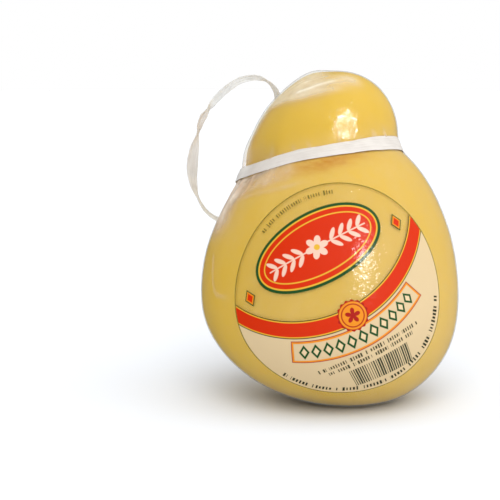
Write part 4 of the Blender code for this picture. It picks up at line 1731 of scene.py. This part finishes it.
# ---- the tape -----------------------------------------------------------------------------
@dataclass
class Strap:
    """A flat tape's way: where its middle goes, which way its width lies, and how wide it is.

    Attributes:
        name: The piece's name.
        middles, sides, widths: The tape's middle, the way of its width and its width at each step.
        ages: How far it has greyed, from 0 to 1, at even steps along it.
        rows: How many faces it has across.
        thickness: How thick it is.
        pucker, pucker_length, pucker_rows: How high its puckers are, how long, and how many across.
        fray, fray_length: How uneven its edges are, as a share of its width, and over what length.
        curl: How far its edges curl off the flat.
        seed: What fixes its chance forms.
    """

    name: str
    middles: list[Vector]
    sides: list[Vector]
    widths: list[float]
    ages: Sequence[float] = (0.2,)
    rows: int = 6
    thickness: float = 0.28 * MM
    pucker: float = 0.16 * MM
    pucker_length: float = 7 * MM
    pucker_rows: float = 4.5
    fray: float = 0.05
    fray_length: float = 3.5 * MM
    curl: float = 0.0
    seed: float = 0.0

    def build(self) -> bpy.types.Object:
        """Builds the tape from a flat grid, with fibrous puckers along it and its own UV map."""
        last = len(self.middles) - 1
        Workbench.clear_selection()
        bpy.ops.mesh.primitive_grid_add(x_subdivisions=last * 2, y_subdivisions=self.rows, size=1)
        tape = Workbench.named(self.name)
        lengths = np.cumsum([0.0, *((b - a).length for a, b in zip(self.middles, self.middles[1:]))])
        mesh = tape.data
        flat, ages = [], []
        for vertex in mesh.vertices:
            share, across = vertex.co.x + 0.5, vertex.co.y
            step = min(int(share * last), last - 1)
            part = share * last - step
            width = self.widths[step] * (1 - part) + self.widths[step + 1] * part
            run = float(lengths[step] * (1 - part) + lengths[step + 1] * part)
            vertex.co = self._place(step, part, across, width, run)
            flat.append((run, across * width))
            ages.append(float(np.interp(share, np.linspace(0, 1, len(self.ages)), self.ages)))
        layer = mesh.uv_layers.active
        for loop in mesh.loops:
            layer.uv[loop.index].vector = flat[loop.vertex_index]
        mesh.update()
        Workbench.paint(tape, "shade_and_tint", np.array(ages))
        Workbench.thicken(tape, self.thickness, 0.0)
        Workbench.subdivide(tape, 1)
        Workbench.shade_smooth(tape, 60)
        return tape

    def _place(self, step: int, part: float, across: float, width: float, run: float) -> Vector:
        """Where a point of the tape is.

        Args:
            step: The step of the way that it follows.
            part: How far it is on the way to the next, from 0 to 1.
            across: How far across the tape it is, from -0.5 to 0.5.
            width: How wide the tape is there.
            run: How far along the tape it is.

        Returns:
            The place.
        """
        here, there = self.middles[step], self.middles[step + 1]
        side = self.sides[step].lerp(self.sides[step + 1], part).normalized()
        face = (there - here).normalized().cross(side).normalized()
        pucker = noise.noise(Vector((run / self.pucker_length, across * self.pucker_rows, self.seed)))
        fray = noise.noise(Vector((run / self.fray_length, self.seed, 4.0))) * self.fray
        rise = pucker * self.pucker + self.curl * (2 * across) ** 2
        return here.lerp(there, part) + side * (across * width * (1 + fray)) + face * rise


@dataclass(frozen=True)
class Lie:
    """How the tape lies at a place round the neck.

    Attributes:
        at: The place, in degrees anticlockwise from the right.
        rise: How far the tape's middle is over the band's plane, in millimetres.
        wide: How wide it lies, in millimetres.
        aged: How far it has greyed, from 0 to 1.
    """

    at: float
    rise: float
    wide: float
    shade_and_tint: float


@dataclass(frozen=True)
class Facing:
    """How the loop's tape lies at a place along it.

    Attributes:
        at: The place, counted in route points.
        turn: How far the tape's width turns away from the viewer, in degrees.
        wide: How wide it lies, in millimetres: creased tape is narrow.
        aged: How far it has greyed, from 0 to 1.
    """

    at: float
    turn: float
    wide: float
    shade_and_tint: float = 0.0


def between(lies: Sequence[Lie | Facing], part: str, at: float) -> float:
    """What a part of a table of lies is at a place, evenly from one lie to the next."""
    return float(np.interp(at, [lie.at for lie in lies], [getattr(lie, part) for lie in lies]))


@dataclass
class Tape:
    """The tape round the neck, its knot with a tail, and the carrying loop.

    Attributes:
        route: The carrying loop's points, in millimetres.
        facings, lies: How the loop's tape and the neck's tape lie.
        ray_spread: How far from the band's middle the neck's tape feels for the skin.
        stand_off: How far it stands off the skin.
        slant: How much further out its upper edge may be than its lower one.
        pinched, pinch_length: Its width in the knot, and over what length it opens.
        tuck: How far its ends go on towards the knot's middle, as a share.
        core_share, turn_share: The core's and the turns' depth and height, as shares of the knot's.
        crumple, crumple_across, crumple_along: How uneven the core is, and how finely each way.
        turns: How far each turn across the knot slants, and its shift along the knot in millimetres.
        turn_over: How much larger each turn is than the one below it.
        tail_drift, tail_lean: How far the tail drifts and leans aside on its way down.
        tail_off, tail_wave, tail_waves: How far it stands off the skin, and how it waves there.
        tail_leaves, tail_opens: How quickly it leaves the knot and comes to its width.
    """

    solids: Solids
    band: BandPlane
    ray_spread: float = 2.4 * MM
    stand_off: float = 0.4 * MM
    slant: float = 0.5 * MM
    columns: int = 96
    pinched: float = 2.6 * MM
    pinch_length: float = 7 * MM
    tuck: float = 0.55
    knot_length: float = 9.0 * MM
    knot_height: float = 6.6 * MM
    knot_depth: float = 5.4 * MM
    core_share: Pair = (0.8, 0.72)
    turn_share: Pair = (0.5, 0.47)
    crumple: float = 0.16
    crumple_across: float = 7.0
    crumple_along: float = 2.0
    turns: tuple[Pair, ...] = ((0.30, -0.6), (-0.42, 0.9))
    turn_steps: int = 28
    turn_over: float = 0.10
    turn_width: float = 3.0 * MM
    turn_width_sway: float = 0.5 * MM
    tail_length: float = 13.0 * MM
    tail_width: float = 4.76 * MM
    tail_steps: int = 12
    tail_drift: float = 3.5 * MM
    tail_off: float = 0.9 * MM
    tail_wave: float = 0.5 * MM
    tail_waves: float = 7.0
    tail_lean: float = 0.25
    tail_leaves: float = 1.8
    tail_opens: float = 1.6
    loop_width: float = 4.2 * MM
    loop_steps: int = 7
    route: tuple[Place, ...] = (
        (-34.8, 40.6, 80.2),
        (-34.0, 40.6, 87.0),
        (-31.8, 39.2, 96.0),
        (-28.4, 37.4, 104.6),
        (-26.2, 33.6, 111.4),
        (-26.6, 29.6, 116.6),
        (-29.8, 27.6, 120.8),
        (-35.0, 26.8, 122.6),
        (-41.3, 26.5, 121.4),
        (-46.5, 26.5, 118.0),
        (-51.2, 27.0, 113.6),
        (-54.8, 27.5, 108.9),
        (-57.2, 28.0, 104.1),
        (-59.0, 28.8, 97.0),
        (-60.2, 29.6, 90.0),
        (-60.4, 30.6, 83.0),
        (-59.0, 31.6, 76.0),
        (-55.4, 32.4, 69.2),
        (-50.0, 33.2, 65.2),
        (-44.6, 35.4, 64.4),
        (-40.6, 37.8, 67.6),
        (-37.6, 39.8, 72.4),
    )
    # A facing's last number is the painted shade of the loop's creased and turned stretches.
    facings: tuple[Facing, ...] = (
        Facing(0.0, 20, 2.6),
        Facing(1.5, 30, 4.0),
        Facing(4.0, 50, 4.2),
        Facing(5.2, 42, 3.0, 0.1),
        Facing(6.2, 62, 1.5, 0.3),
        Facing(6.7, 20, 2.3),
        Facing(8.0, 8, 2.8),
        Facing(9.5, 4, 3.2),
        Facing(10.3, 10, 2.9),
        Facing(10.7, 52, 2.0, 0.3),
        Facing(11.3, 20, 3.1, 0.5),
        Facing(12.1, 25, 2.6, 0.6),
        Facing(12.5, 60, 1.7, 0.5),
        Facing(13.1, 20, 3.4, 0.4),
        Facing(14.0, 8, 4.6, 0.35),
        Facing(14.8, 10, 4.4, 0.3),
        Facing(15.6, 30, 3.0, 0.2),
        Facing(16.2, 60, 1.8, 0.1),
        Facing(18.0, 66, 3.4),
        Facing(20.0, 30, 3.4),
        Facing(21.0, 20, 2.6),
    )
    lies: tuple[Lie, ...] = (
        Lie(120, 0.0, 6.0, 0.5),
        Lie(170, 3.2, 5.2, 0.4),
        Lie(192, 3.2, 5.6, 0.4),
        Lie(204, 2.5, 6.2, 0.5),
        Lie(213, 2.1, 6.6, 0.6),
        Lie(232, 1.6, 6.6, 0.55),
        Lie(254, 1.3, 6.6, 0.5),
        Lie(275, 0.2, 6.6, 0.5),
        Lie(295, -0.3, 6.6, 0.5),
        Lie(320, -0.2, 6.6, 0.5),
        Lie(350, 0.0, 6.0, 0.6),
        Lie(490, 0.0, 6.0, 0.5),
    )

    def build(self) -> list[bpy.types.Object]:
        """Builds and dresses the band, the knot and the loop."""
        finish = TapeFinish().material()
        self.knot_middle = self._find_knot()
        band, knot, loop = self._neck_tape(), self._knot(), self._carrying_loop()
        for piece, node in ((band, "neck_band"), (knot, "knot"), (loop, "carrying_loop")):
            piece.data.materials.clear()
            piece.data.materials.append(finish)
            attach(piece, "root")
            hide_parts(node)
            LOG.info("%s: %d points", piece.name, len(piece.data.vertices))
        path = self._loop_way()
        length = sum((b - a).length for a, b in zip(path, path[1:]))
        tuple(path[0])
        return [band, knot, loop]

    def _find_knot(self) -> Vector:
        """The middle of the knot's core, from the top of the frame's knot."""
        places = Workbench.places(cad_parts["knot"])
        core = places[places[:, 2] > places[:, 2].max() - self.knot_height * 0.9]
        return Vector((core.min(0) + core.max(0)) / 2)

    def _neck_tape(self) -> bpy.types.Object:
        """The tape round the neck, taut, whose two ends pinch into the knot."""
        knot_angle = self.band.angle_of(self.knot_middle)
        reach = (self.knot_middle - self.band.middle).length
        gap = (self.knot_length / 2) / reach
        first = self.lies[0].at
        middles, sides, widths, ages = [], [], [], []
        for i in range(self.columns + 1):
            share = i / self.columns
            angle = knot_angle + gap + share * (2 * math.pi - 2 * gap)
            at = (math.degrees(angle) - first) % 360 + first
            lower, upper = self._feel(self.band.ray(angle), between(self.lies, "rise", at) * MM)
            middles.append((lower + upper) / 2)
            sides.append((upper - lower).normalized())
            open_share = float(smooth(min(share, 1 - share) * 2 * math.pi * reach / self.pinch_length))
            wide = between(self.lies, "wide", at) * MM
            widths.append(self.pinched + (wide - self.pinched) * open_share)
            ages.append(between(self.lies, "shade_and_tint", at))
        for end, at in ((0, 0), (-1, len(middles))):
            middles.insert(at, middles[end].lerp(self.knot_middle, self.tuck))
            sides.insert(at, sides[end])
            widths.insert(at, self.pinched)
        return Strap("neck_tape", middles, sides, widths, ages, rows=8, curl=-0.12 * MM, seed=1.7).build()

    def _feel(self, ray: Vector, shift: float) -> tuple[Vector, Vector]:
        """Where the neck's tape lies on the skin.

        Args:
            ray: The way out from the band's middle.
            shift: How far over the band's plane the tape's middle is.

        Returns:
            A place near the tape's lower edge and one near its upper edge.
        """
        edges = []
        for level in (-self.ray_spread, self.ray_spread):
            start = self.band.middle + self.band.up * (level + shift)
            edges.append(self.solids.skin.ray_cast(start, ray)[0] + ray * self.stand_off)
        inset = (edges[1] - edges[0]).dot(ray) - self.slant
        edges[0] += ray * max(0.0, inset)
        return edges[0], edges[1]

    def _knot(self) -> bpy.types.Object:
        """The knot: a pulled core, two turns of tape across it, and a tail on the shoulder."""
        outwards = (self.knot_middle - self.band.middle).normalized()
        outwards = (outwards - self.band.up * outwards.dot(self.band.up)).normalized()
        along = self.band.up.cross(outwards)
        turned = Matrix((along, outwards, self.band.up)).transposed().to_4x4()
        placed = Matrix.Translation(self.knot_middle) @ turned
        Workbench.clear_selection()
        bpy.ops.mesh.primitive_uv_sphere_add(segments=32, ring_count=18, radius=0.5)
        core = Workbench.named("tape_knot")
        deep, high = self.core_share
        size = Vector((self.knot_length, self.knot_depth * deep, self.knot_height * high))
        for vertex in core.data.vertices:
            x, y, z = vertex.co
            along, across = self.crumple_along, self.crumple_across
            fold = noise.noise(Vector((x * along, y * across, z * across)))
            vertex.co = Vector(a * b for a, b in zip(vertex.co * (1 + self.crumple * fold), size))
        core.data.transform(placed)
        turns = [self._knot_turn(placed, number, *turn) for number, turn in enumerate(self.turns)]
        knot = Workbench.join([core, *turns, self._tail(outwards)])
        Workbench.shade_smooth(knot, 60)
        return knot

    def _knot_turn(self, placed: Matrix, number: int, lean: float, shift: float) -> bpy.types.Object:
        """One turn of tape across the knot.

        Args:
            placed: Where the knot is.
            number: Which turn it is; the second lies over the first.
            lean: How far it slants along the knot, for each metre up.
            shift: How far it is along the knot, in millimetres.

        Returns:
            The turn.
        """
        middles, sides, widths = [], [], []
        over = 1 + self.turn_over * number
        deep, high = self.knot_depth * self.turn_share[0], self.knot_height * self.turn_share[1]
        for i in range(self.turn_steps + 1):
            angle = 2 * math.pi * i / self.turn_steps
            out, up = math.cos(angle) * deep, math.sin(angle) * high
            middles.append(placed @ Vector((shift * MM + lean * up, out * over, up * over)))
            sides.append((placed.to_3x3() @ Vector((1, 0, -lean))).normalized())
            widths.append(self.turn_width + self.turn_width_sway * math.sin(2 * angle))
        name = f"knot_turn_{number}"
        return Strap(name, middles, sides, widths, pucker=0.3 * MM, seed=5.0 + number).build()

    def _tail(self, outwards: Vector) -> bpy.types.Object:
        """The tape's cut end, from inside the knot down over the shoulder."""
        side = Vector((0, 0, 1)).cross(outwards).normalized()
        middles, sides, widths = [], [], []
        for i in range(self.tail_steps + 1):
            share = i / self.tail_steps
            down = Vector((0, 0, -self.tail_length * share))
            drop = self.knot_middle + down - side * (self.tail_drift * share)
            inside, normal, _, _ = self.solids.skin.find_nearest(drop)
            clear = inside + normal * (self.tail_off + self.tail_wave * math.sin(share * self.tail_waves))
            middles.append(self.knot_middle.lerp(clear, float(smooth(share * self.tail_leaves))))
            middles[-1].z = drop.z
            sides.append((side + Vector((0, 0, self.tail_lean * share))).normalized())
            opened = float(smooth(share * self.tail_opens))
            widths.append(self.pinched + (self.tail_width - self.pinched) * opened)
        return Strap("knot_tail", middles, sides, widths, curl=0.3 * MM, seed=9.0).build()

    def _loop_way(self) -> list[Vector]:
        """The loop's places, closely spaced."""
        return smooth_route([Vector(point) * MM for point in self.route], self.loop_steps)

    def _carrying_loop(self) -> bpy.types.Object:
        """The free loop of flat tape, which twists and creases along its way."""
        middles = self._loop_way()
        last = len(middles) - 1
        sides, widths, ages = [], [], []
        for i in range(last + 1):
            at = i / self.loop_steps
            way = (middles[min(i + 1, last)] - middles[max(i - 1, 0)]).normalized()
            flat = way.cross(Vector((0, 1, 0))).normalized()
            deep = flat.cross(way).normalized()
            turn = math.radians(between(self.facings, "turn", at))
            sides.append((flat * math.cos(turn) + deep * math.sin(turn)).normalized())
            widths.append(between(self.facings, "wide", at) * MM)
            ages.append(between(self.facings, "shade_and_tint", at))
        strap = Strap("carrying_loop_tape", middles, sides, widths, ages, seed=3.1)
        strap.thickness, strap.pucker, strap.curl = 0.24 * MM, 0.3 * MM, 0.25 * MM
        return strap.build()


def main() -> None:
    """Builds the studio, the tape with its loop, the pear and the labels."""
    logging.basicConfig(level=logging.INFO, format="%(name)s %(message)s")
    studio = Studio()
    studio.build()
    solids = Solids()
    band = BandPlane.from_frame()
    Tape(solids, band).build()
    _, film = Pear(solids, band, studio).build()
    Labels(film, solids).build()


if __name__ == "__main__":
    main()
